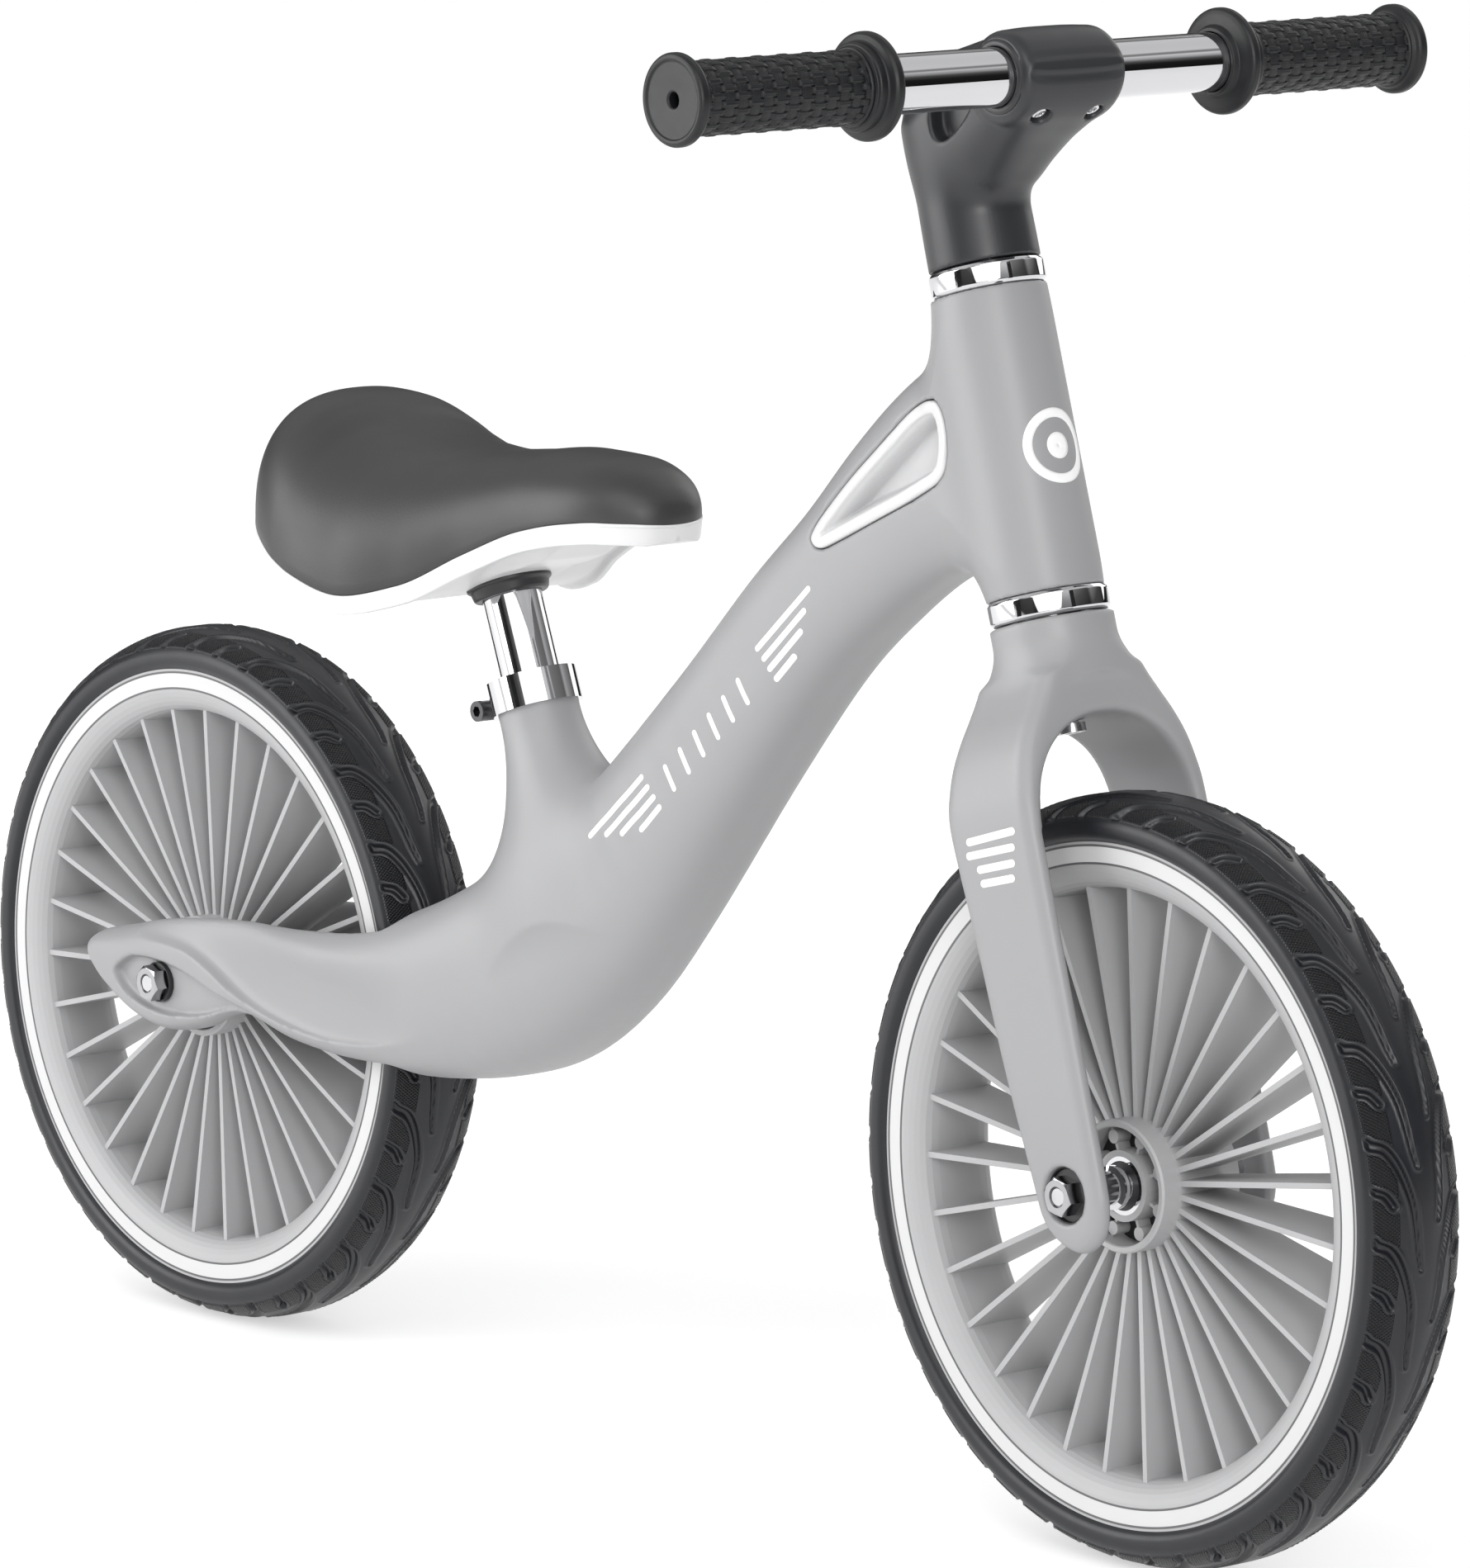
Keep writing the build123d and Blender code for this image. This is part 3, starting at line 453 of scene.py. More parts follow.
# ---------------------------------------------------------------- materials
def material(name, color, rough, metal=0.0, grain=None, var=0.05, var_scale=40.0, rough_var=0.06, ior=1.5, coat=0.0, sheen=0.0, extra=None):
    """Moulded or metal surface: colour and roughness vary a little, grain is (size mm, depth mm)."""
    m = bpy.data.materials.new(name)
    m.use_nodes = True
    nt = m.node_tree
    bsdf = nt.nodes["Principled BSDF"]
    bsdf.inputs["Metallic"].default_value = metal
    bsdf.inputs["IOR"].default_value = ior
    if coat:
        bsdf.inputs["Coat Weight"].default_value = coat
        bsdf.inputs["Coat Roughness"].default_value = 0.2
    if sheen:
        bsdf.inputs["Sheen Weight"].default_value = sheen
        bsdf.inputs["Sheen Roughness"].default_value = 0.5
    tc = nt.nodes.new("ShaderNodeTexCoord")
    no = nt.nodes.new("ShaderNodeTexNoise")
    no.inputs["Scale"].default_value = var_scale
    no.inputs["Detail"].default_value = 4.0
    nt.links.new(tc.outputs["Object"], no.inputs["Vector"])
    ramp = nt.nodes.new("ShaderNodeValToRGB")
    lo = [c * (1 - var) for c in color]
    hi = [min(c * (1 + var), 1.0) for c in color]
    ramp.color_ramp.elements[0].position = 0.3
    ramp.color_ramp.elements[0].color = (*lo, 1)
    ramp.color_ramp.elements[1].position = 0.7
    ramp.color_ramp.elements[1].color = (*hi, 1)
    nt.links.new(no.outputs["Fac"], ramp.inputs["Fac"])
    nt.links.new(ramp.outputs["Color"], bsdf.inputs["Base Color"])
    mr = nt.nodes.new("ShaderNodeMapRange")
    mr.inputs["To Min"].default_value = max(rough - rough_var, 0.02)
    mr.inputs["To Max"].default_value = rough + rough_var
    no2 = nt.nodes.new("ShaderNodeTexNoise")
    no2.inputs["Scale"].default_value = var_scale * 3.1
    no2.inputs["Detail"].default_value = 3.0
    nt.links.new(tc.outputs["Object"], no2.inputs["Vector"])
    nt.links.new(no2.outputs["Fac"], mr.inputs["Value"])
    nt.links.new(mr.outputs["Result"], bsdf.inputs["Roughness"])
    height = None
    if grain:
        size, depth = grain
        g = nt.nodes.new("ShaderNodeTexNoise")
        g.inputs["Scale"].default_value = 1000.0 / size
        g.inputs["Detail"].default_value = 2.0
        nt.links.new(tc.outputs["Object"], g.inputs["Vector"])
        mul = nt.nodes.new("ShaderNodeMath")
        mul.operation = "MULTIPLY"
        mul.inputs[1].default_value = depth / 1000.0
        nt.links.new(g.outputs["Fac"], mul.inputs[0])
        height = mul.outputs[0]
    if extra:
        height = extra(nt, tc, height)
    if height is not None:
        bp = nt.nodes.new("ShaderNodeBump")
        bp.inputs["Strength"].default_value = 1.0
        bp.inputs["Distance"].default_value = 1.0
        nt.links.new(height, bp.inputs["Height"])
        nt.links.new(bp.outputs["Normal"], bsdf.inputs["Normal"])
    return m


def knurl_height(nt, tc, height):
    """Raised diamonds where the mesh says knurl, from the tyre's own u, v in millimetres."""
    uvn = nt.nodes.new("ShaderNodeUVMap")
    uvn.uv_map = "UVMap"
    sep = nt.nodes.new("ShaderNodeSeparateXYZ")
    nt.links.new(uvn.outputs["UV"], sep.inputs[0])

    def math_node(op, a, b=None):
        n = nt.nodes.new("ShaderNodeMath")
        n.operation = op
        for k, v in ((0, a), (1, b)):
            if v is None:
                continue
            if isinstance(v, (int, float)):
                n.inputs[k].default_value = v
            else:
                nt.links.new(v, n.inputs[k])
        return n.outputs[0]

    u, v = sep.outputs[0], sep.outputs[1]
    k = math.pi / 1.35 * 100.0
    s1 = math_node("ABSOLUTE", math_node("SINE", math_node("MULTIPLY", math_node("ADD", u, math_node("MULTIPLY", v, 0.8)), k)))
    s2 = math_node("ABSOLUTE", math_node("SINE", math_node("MULTIPLY", math_node("SUBTRACT", u, math_node("MULTIPLY", v, 0.8)), k)))
    at = nt.nodes.new("ShaderNodeAttribute")
    at.attribute_name = "knurl"
    h = math_node("MULTIPLY", math_node("MULTIPLY", s1, s2), math_node("MULTIPLY", at.outputs["Fac"], 0.0018))
    return math_node("ADD", h, height) if height is not None else h


M = {}
M["frame"] = material("frame_paint", (0.287, 0.287, 0.294), 0.42, grain=(0.55, 0.02), var=0.015, var_scale=18, rough_var=0.03)
M["rim"] = material("rim_plastic", (0.375, 0.375, 0.381), 0.46, grain=(0.6, 0.018), var=0.02, var_scale=25, rough_var=0.04)
M["white"] = material("white_plastic", (0.70, 0.70, 0.705), 0.33, grain=(0.8, 0.006), var=0.012, var_scale=20, rough_var=0.03)
M["line"] = material("band_line", (0.10, 0.10, 0.103), 0.45, grain=(0.6, 0.01), var=0.05, var_scale=40, rough_var=0.03)
M["band"] = material("pale_band", (0.575, 0.575, 0.58), 0.36, grain=(0.8, 0.006), var=0.012, var_scale=20, rough_var=0.03)
M["trim"] = material("trim_white", (0.6, 0.6, 0.605), 0.36, grain=(0.8, 0.006), var=0.012, var_scale=20, rough_var=0.03)
# the trim colour is multiplied down where the scoop is deep: painted shade inside the pocket
_nt = M["trim"].node_tree
_bs = _nt.nodes["Principled BSDF"]
_src = _bs.inputs["Base Color"].links[0].from_socket
_at = _nt.nodes.new("ShaderNodeAttribute")
_at.attribute_name = "hollow"
_mx = _nt.nodes.new("ShaderNodeMix")
_mx.data_type = "RGBA"
_mx.blend_type = "MULTIPLY"
_mx.inputs[7].default_value = (0.78, 0.78, 0.785, 1)
_nt.links.new(_at.outputs["Fac"], _mx.inputs[0])
_nt.links.new(_src, _mx.inputs[6])
_nt.links.new(_mx.outputs[2], _bs.inputs["Base Color"])
M["decal"] = material("pale_ink", (0.84, 0.84, 0.845), 0.45, grain=(0.4, 0.004), var=0.01, var_scale=60, rough_var=0.04)
M["tyre"] = material("tyre_foam", (0.0115, 0.0122, 0.015), 0.36, ior=1.44, grain=(0.5, 0.02), var=0.12, var_scale=60, rough_var=0.06, extra=knurl_height)
M["grip"] = material("grip_rubber", (0.008, 0.0085, 0.0096), 0.42, ior=1.42, grain=(0.35, 0.02), var=0.1, var_scale=80, rough_var=0.05)
M["stem"] = material("stem_plastic", (0.021, 0.022, 0.0245), 0.38, grain=(0.5, 0.012), var=0.05, var_scale=30, rough_var=0.04)
M["black"] = material("black_plastic", (0.02, 0.02, 0.022), 0.4, grain=(0.5, 0.012), var=0.06, var_scale=50, rough_var=0.05)
M["saddle"] = material("saddle_skin", (0.028, 0.027, 0.027), 0.46, ior=1.56, grain=(0.9, 0.05), var=0.06, var_scale=22, rough_var=0.05)
M["chrome"] = material("chrome", (0.64, 0.64, 0.655), 0.05, metal=1.0, var=0.01, var_scale=30, rough_var=0.015)
M["steel"] = material("zinc_steel", (0.56, 0.56, 0.57), 0.24, metal=1.0, grain=(0.3, 0.004), var=0.05, var_scale=120, rough_var=0.06)
M["nut"] = material("nut_steel", (0.42, 0.42, 0.43), 0.16, metal=1.0, var=0.05, var_scale=120, rough_var=0.04)
M["dark_steel"] = material("dark_steel", (0.09, 0.09, 0.095), 0.32, metal=1.0, var=0.05, var_scale=120, rough_var=0.06)

# axle washers take the black finish to darken the axle counterbores: painted shade
NODE_MAT = {"frame": "frame", "fork": "frame", "rim": "rim", "rim_bands": "band", "trim_insert": "band", "saddle_base": "white", "tyre": "tyre",
            "headset_collar": "chrome", "seat_clamp_bolt": "dark_steel", "seat_clamp_nut": "dark_steel", "seat_clamp": "chrome", "handlebar": "chrome",
            "seat_post_plugs": "black", "seat_post": "chrome", "axle_nuts": "nut", "axle_washers": "black", "axle_spacers": "chrome", "axle": "steel",
            "bearing_inner_races": "steel", "bearing_outer_races": "chrome", "bearing_seals": "black", "hub_tube": "steel", "headset_bearing": "dark_steel",
            "steerer_tube": "steel", "steerer_plug": "black", "crown_bolt": "steel", "stem_screws": "chrome", "stem": "stem", "seat_bush": "black",
            "saddle_bolt": "steel", "saddle_cushion": "saddle", "grip": "grip"}
for node, ob in NODES.items():
    short = node.replace("front_", "").replace("rear_", "")
    key = short if short in NODE_MAT else max([k for k in NODE_MAT if short.startswith(k)], key=len)
    ob.data.materials.clear()
    ob.data.materials.append(M[NODE_MAT[key]])

# ---------------------------------------------------------------- frame
H = 1.0
HUB_IN = 21.95
xs = np.arange(-58.0, 532.0, H)
zs = np.arange(-36.0, 348.0, H)
ys = np.arange(0.0, 47.0, H)
XX, ZZ = np.meshgrid(xs, zs, indexing="ij")
ff = frame_fields(XX, ZZ)
F_plain = frame_field(XX, ZZ, ys, ff, pocket=False)
d_trim = poly_sdf(spline(TRIM, 160, True), XX, ZZ)
F = np.maximum(F_plain, -np.maximum(d_trim[:, None, :] - 0.4, 10.0 - ys[None, :, None]))
P, Q = iso(F, xs[0], zs[0], H)
mesh_obj("frame_shell", P, Q, "frame", M["frame"], ("frame",))


def surface_y(F3, x, z, x0, z0, h, top):
    """Outermost y where the field crosses zero, at points x, z."""
    i = np.clip((np.asarray(x) - x0) / h, 0, F3.shape[0] - 1.001)
    k = np.clip((np.asarray(z) - z0) / h, 0, F3.shape[2] - 1.001)
    i0, k0 = i.astype(int), k.astype(int)
    fi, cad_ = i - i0, k - k0
    col = (F3[i0, :, k0].T * (1 - fi) * (1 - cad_) + F3[i0 + 1, :, k0].T * fi * (1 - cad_) + F3[i0, :, k0 + 1].T * (1 - fi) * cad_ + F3[i0 + 1, :, k0 + 1].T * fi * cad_)
    ny = col.shape[0]
    inside = col < 0
    last = ny - 1 - np.argmax(inside[::-1], axis=0)
    last = np.clip(last, 0, ny - 2)
    c = np.arange(col.shape[1])
    a, b = col[last, c], col[last + 1, c]
    return (last + a / (a - b + 1e-9)) * h


def frame_y(x, z):
    return surface_y(F_plain, x, z, xs[0], zs[0], H, 47)


# trim inserts: a white frame round a scooped pocket, in each side
ht = 0.6
tx = np.arange(386.0, 473.0, ht)
tz = np.arange(215.0, 286.0, ht)
TXX, TZZ = np.meshgrid(tx, tz, indexing="ij")
dt = poly_sdf(spline(TRIM, 160, True), TXX, TZZ)
ysurf = frame_y(TXX.ravel(), TZZ.ravel()).reshape(TXX.shape)
for _ in range(2):
    ysurf[1:-1, 1:-1] = (ysurf[1:-1, 1:-1] * 2 + ysurf[:-2, 1:-1] + ysurf[2:, 1:-1] + ysurf[1:-1, :-2] + ysurf[1:-1, 2:]) / 6
lean = ss(TXX * 0.64 + TZZ * -0.77, 75.0, 108.0)
scoop = (1.4 + 7.6 * ss(-dt, 4.9, 10.2 - 3.0 * lean)) * ss(-dt, 4.5, 5.5)
face = ysurf + 0.35 - scoop
ty = np.arange(8.0, 27.0, ht)
G = smax(np.maximum(dt[:, None, :] + 0.1, 10.1 - ty[None, :, None]), ty[None, :, None] - face[:, None, :], 1.2)
Gp = np.pad(np.clip(G, -3 * ht, 3 * ht), 1, constant_values=3 * ht).astype(np.float32)
gv = vdb.FloatGrid(3.0)
gv.copyFromArray(np.ascontiguousarray(Gp / ht))
tp, tq = gv.convertToQuads(0.0)
tp, tq = np.asarray(tp, float), np.asarray(tq, int)
# scoop depth per vertex, 0 to 1, that darkens the pocket: painted shade
hollow = np.clip(scoop[np.clip(np.rint(tp[:, 0] - 1).astype(int), 0, len(tx) - 1), np.clip(np.rint(tp[:, 2] - 1).astype(int), 0, len(tz) - 1)] / 7.0 - 0.15, 0, 1)
for side, sg in (("right", -1), ("left", 1)):
    P = np.stack([tx[0] + (tp[:, 0] - 1) * ht, sg * (ty[0] + (tp[:, 1] - 1) * ht), tz[0] + (tp[:, 2] - 1) * ht], 1)
    mesh_obj("trim_" + side, P, tq, "frame", M["trim"], ("trim_insert_" + side,), attrs={"hollow": hollow})


# painted stripes on the down tube: rounded bars lying on the surface
def bar_patch(a, b, width, y_of, sg, lift=0.12, thick=0.2):
    a, b = np.asarray(a, float), np.asarray(b, float)
    d = (b - a) / np.linalg.norm(b - a)
    nrm = np.array([-d[1], d[0]])
    L = np.linalg.norm(b - a)
    r = width / 2
    us = np.concatenate([-r * np.cos(np.linspace(0, math.pi / 2, 7)), np.linspace(0, L, max(int(L / 1.5), 2))[1:-1], L + r * np.sin(np.linspace(0, math.pi / 2, 7))])
    us = np.concatenate([[-r * 0.999], us[1:-1], [L + r * 0.999]])
    rows = []
    for u in us:
        over = max(-u, u - L, 0.0)
        hw = math.sqrt(max(r * r - over * over, 0.0004))
        for w in (-1, -0.5, 0, 0.5, 1):
            rows.append(a + d * u + nrm * hw * w)
    rows = np.array(rows)
    y = y_of(rows[:, 0], rows[:, 1])
    top = np.stack([rows[:, 0], sg * (y + lift), rows[:, 1]], 1)
    low = np.stack([rows[:, 0], sg * (y - thick), rows[:, 1]], 1)
    nu, nv = len(us), 5
    q = []
    idx = lambda i, j: i * nv + j
    for i in range(nu - 1):
        for j in range(nv - 1):
            q.append((idx(i, j), idx(i + 1, j), idx(i + 1, j + 1), idx(i, j + 1)))
            q.append(tuple(nu * nv + k for k in (idx(i, j + 1), idx(i + 1, j + 1), idx(i + 1, j), idx(i, j))))
    edge = [idx(i, 0) for i in range(nu)] + [idx(nu - 1, j) for j in range(1, nv)] + [idx(i, nv - 1) for i in range(nu - 2, -1, -1)] + [idx(0, j) for j in range(nv - 2, 0, -1)]
    for m in range(len(edge)):
        e0, e1 = edge[m], edge[(m + 1) % len(edge)]
        q.append((e1, e0, e0 + nu * nv, e1 + nu * nv))
    return np.vstack([top, low]), np.array(q)


def join(parts):
    Ps, Qs, off = [], [], 0
    for P, Q in parts:
        Ps.append(P)
        Qs.append(np.asarray(Q) + off)
        off += len(P)
    return np.vstack(Ps), np.vstack(Qs)


STRIPES = [((263.6, 93.3), (293.7, 119.9)), ((273.6, 95.1), (297.5, 116.5)), ((282.7, 96.6), (301.2, 113.0)), ((294.2, 99.6), (304.7, 109.5)),
           ((361.8, 177.9), (391.1, 203.9)), ((365.5, 174.4), (388.6, 195.2)), ((368.6, 170.8), (386.3, 187.0)), ((371.6, 167.2), (381.8, 176.8))]
for k in range(6):  # plain slanted dashes between the two groups
    f = k / 5
    cx, cz = 311.5 + 42.5 * f, 123.5 + 38.6 * f
    STRIPES.append(((cx - 3.6, cz + 2.0), (cx + 1.6, cz - 5.6)))
for side, sg in (("right", -1), ("left", 1)):
    P, Q = join([bar_patch(a, b, 2.5, frame_y, sg) for a, b in STRIPES])
    mesh_obj("stripes_" + side, P, Q, "frame", M["decal"])

def head_radius(ang, s_):
    """Radius of the head tube's outside about the steering axis, at an angle from straight ahead."""
    r_ = np.arange(30.0, 18.0, -0.1)
    P_ = from_st(r_ * math.cos(ang), abs(math.sin(ang)) * r_, s_)
    i_, j_, k_ = (P_[:, 0] - xs[0]) / H, P_[:, 1] / H, (P_[:, 2] - zs[0]) / H
    i0_, j0_, k0_ = i_.astype(int), j_.astype(int), k_.astype(int)
    fx, fy, fz = i_ - i0_, j_ - j0_, k_ - k0_
    v_ = 0
    for a_, b_, c_ in ((0, 0, 0), (1, 0, 0), (0, 1, 0), (0, 0, 1), (1, 1, 0), (1, 0, 1), (0, 1, 1), (1, 1, 1)):
        wt = (fx if a_ else 1 - fx) * (fy if b_ else 1 - fy) * (fz if c_ else 1 - fz)
        v_ = v_ + wt * F_plain[i0_ + a_, j0_ + b_, k0_ + c_]
    m_ = np.argmax(v_ < 0)
    return float(r_[m_]) if v_[m_] < 0 else 21.2


# plain badge on the front of the head tube: a ring round a dot
parts = []
for r0, r1 in ((10.6, 14.2), (0.02, 5.0)):
    n, m = 64, 4
    ph = np.arange(n) / n * 2 * math.pi
    rr_ = np.linspace(r0, r1, m)
    pts = []
    for lift in (0.14, -0.25):
        for p_ in ph:
            for q_ in rr_:
                ang = q_ * math.cos(p_) / 21.2
                rad_ = head_radius(ang, 273.0 + q_ * math.sin(p_)) + lift
                pts.append(from_st(rad_ * math.cos(ang), rad_ * math.sin(ang), 273.0 + q_ * math.sin(p_)))
    pts = np.array(pts)
    q = [(i * m + j, ((i + 1) % n) * m + j, ((i + 1) % n) * m + j + 1, i * m + j + 1) for i in range(n) for j in range(m - 1)]
    q += [tuple(n * m + v for v in f[::-1]) for f in q]
    q += [(i * m, n * m + i * m, n * m + ((i + 1) % n) * m, ((i + 1) % n) * m) for i in range(n)]
    q += [(((i + 1) % n) * m + m - 1, n * m + ((i + 1) % n) * m + m - 1, n * m + i * m + m - 1, i * m + m - 1) for i in range(n)]
    parts.append((pts, np.array(q)))
P, Q = join(parts)
mesh_obj("head_badge", P, Q, "frame", M["decal"])

# black rings inside the axle counterbores: painted shade for the dark hole round the nuts
for tag_, cx_, yin, rin, bod in (("rear", 0.0, 37.85, 8.4, "frame"), ("front", WB, 41.55, 10.68, "fork_assembly")):
    for side, sg in (("right", -1), ("left", 1)):
        lathe("recess_liner_" + tag_ + "_" + side, [(4.3, sg * yin), (rin - 0.05, sg * yin), (rin - 0.05, sg * (yin + 2.4)), (rin - 0.45, sg * (yin + 2.4)), (rin - 0.5, sg * (yin + 0.3)), (4.3, sg * (yin + 0.3))],
              on_y(cx_, 0), bod, M["black"], rad=0.1, n=64)
# black discs on the floors of the hub recesses between the ribs: painted shade for the deep hollow
for tag_, cx_ in (("rear", 0.0), ("front", WB)):
    for side, sg in (("right", -1), ("left", 1)):
        lathe("hub_floor_" + tag_ + "_" + side, [(13.7, sg * 8.02), (HUB_IN, sg * 8.02), (HUB_IN, sg * 8.5), (13.7, sg * 8.5)], on_y(cx_, 0), tag_ + "_wheel", M["black"], rad=0.05, n=96)

# ---------------------------------------------------------------- fork
Hf = 1.0
ts_ = np.arange(-34.0, 27.0, Hf)
ss_ = np.arange(-28.0, 215.0, Hf)
yf = np.arange(0.0, 50.0, Hf)
TT, SS = np.meshgrid(ts_, ss_, indexing="ij")
YY, SS2 = np.meshgrid(yf, ss_, indexing="ij")
Ff = fork_field(TT, SS, yf, fork_fields(TT, SS, YY, SS2))
P, Q = iso(Ff, ts_[0], ss_[0], Hf)
mesh_obj("fork_shell", from_st(P[:, 0], P[:, 1], P[:, 2]), Q, "fork_assembly", M["frame"], ("fork",))


def fork_y(t, s):
    return surface_y(Ff, t, s, ts_[0], ss_[0], Hf, 50)


BARS = [((-15.5, 134.4), (9.2, 134.7)), ((-16.9, 129.4), (7.5, 128.9)), ((-12.4, 123.6), (6.0, 123.2)), ((-11.8, 118.3), (4.4, 117.8))]
for side, sg in (("right", -1), ("left", 1)):
    parts = []
    for a, b in BARS:
        Pb, Qb = bar_patch(a, b, 3.0, fork_y, sg)
        parts.append((from_st(Pb[:, 0], Pb[:, 1], Pb[:, 2]), Qb))
    P, Q = join(parts)
    mesh_obj("fork_bars_" + side, P, Q, "fork_assembly", M["decal"])

# ---------------------------------------------------------------- stem
Hs = 0.8
t2 = np.arange(-25.0, 75.0, Hs)
s2 = np.arange(342.0, 430.0, Hs)
y2 = np.arange(0.0, 28.0, Hs)
T2, S2 = np.meshgrid(t2, s2, indexing="ij")
Fs = stem_field(T2, S2, y2)
P, Q = iso(Fs, t2[0], s2[0], Hs)
mesh_obj("stem_shell", from_st(P[:, 0], P[:, 1], P[:, 2]), Q, "fork_assembly", M["stem"], ("stem",))
bx, bz = from_st(53.0, 0.0, 406.4)[[0, 2]]
for side, sg in (("right", -1), ("left", 1)):
    lathe("bar_seal_" + side, [(11.15, sg * 21.6), (11.15, sg * 24.9), (11.8, sg * 25.4), (13.0, sg * 25.3), (13.9, sg * 24.7), (14.0, sg * 21.7)], on_y(bx, bz), "fork_assembly",
          M["black"], rad=0.4)

t0, s0, yy0, t1_, s1_ = SCREW
ul = math.hypot(t1_ - t0, s1_ - s0)
ut, us_ = (t1_ - t0) / ul, (s1_ - s0) / ul
parts = []
for sg in (-1, 1):
    prof = rounded([(0.05, 8.8), (1.45, 8.8), (1.6, 8.2), (1.75, 7.4), (2.8, 7.4), (3.45, 8.0), (3.5, 11.9), (0.05, 11.9)], 0.2)
    n_ = 48
    a_ = np.arange(n_) / n_ * 2 * math.pi
    rr0 = np.tile(prof[:, 0], (n_, 1))
    sock = (prof[:, 1] > 8.1) & (prof[:, 0] < 1.8)
    hexr = 1 / np.maximum(np.abs(np.cos((a_ + math.pi / 6) % (math.pi / 3) - math.pi / 6)), 0.8)
    rr0 = np.where(sock[None, :], rr0 * hexr[:, None], rr0)
    A_, B_, H_ = rr0 * np.cos(a_)[:, None], rr0 * np.sin(a_)[:, None], np.tile(prof[:, 1], (n_, 1))
    P = from_st(t0 + ut * H_ + us_ * A_, sg * yy0 + B_, s0 + us_ * H_ - ut * A_).reshape(-1, 3)
    q = grid_quads(n_, len(prof), True, True)
    if volume(P - P.mean(0), q) < 0:
        q = q[:, ::-1]
    parts.append((P, q))
P, Q = join(parts)
mesh_obj("stem_screw_heads", P, Q, "fork_assembly", M["chrome"], ("stem_screws",))

# ---------------------------------------------------------------- headset collars, bush, clamp ring
lathe("collar_lower", [(16.9, 211.3), (21.6, 211.3), (22.9, 212.6), (22.9, 219.4), (21.8, 220.7), (16.9, 220.7)], on_steer, "frame", M["chrome"], ("headset_collar_lower",), rad=0.5, n=128)
lathe("collar_upper", [(16.9, 335.5), (20.7, 335.5), (21.8, 336.8), (21.8, 343.6), (20.8, 344.9), (16.9, 344.9)], on_steer, "frame", M["chrome"], ("headset_collar_upper",), rad=0.5, n=128)
lathe("seat_bush_ring", [(12.0, 1.2), (14.6, 1.2), (15.3, 2.0), (16.0, 5.0), (17.3, 5.8), (17.3, 9.2), (12.0, 9.2)], on_post, "seat", M["black"], ("seat_bush",), rad=0.6, n=96)

# ---------------------------------------------------------------- tyres
TY = [(128.0, -20.6), (129.4, -21.9), (131.5, -22.6), (134.8, -22.4), (137.6, -20.6), (140.0, -17.3), (141.6, -13.6), (143.1, -9.0), (144.1, -4.5), (144.5, 0.0)]
TY = np.array(TY + [(r, -y) for r, y in TY[::-1][1:]])
LONG = [(0.6, -21.6), (0.0, -20.0), (-0.9, -15.7), (-3.0, -12.3), (-6.0, -9.4), (-9.4, -7.1), (-13.2, -6.0), (-16.6, -5.2), (-18.9, -4.0)]
SHORT = [(-6.6, -21.6), (-7.0, -20.0), (-7.7, -17.0), (-9.3, -14.4)]
REPEATS = 24


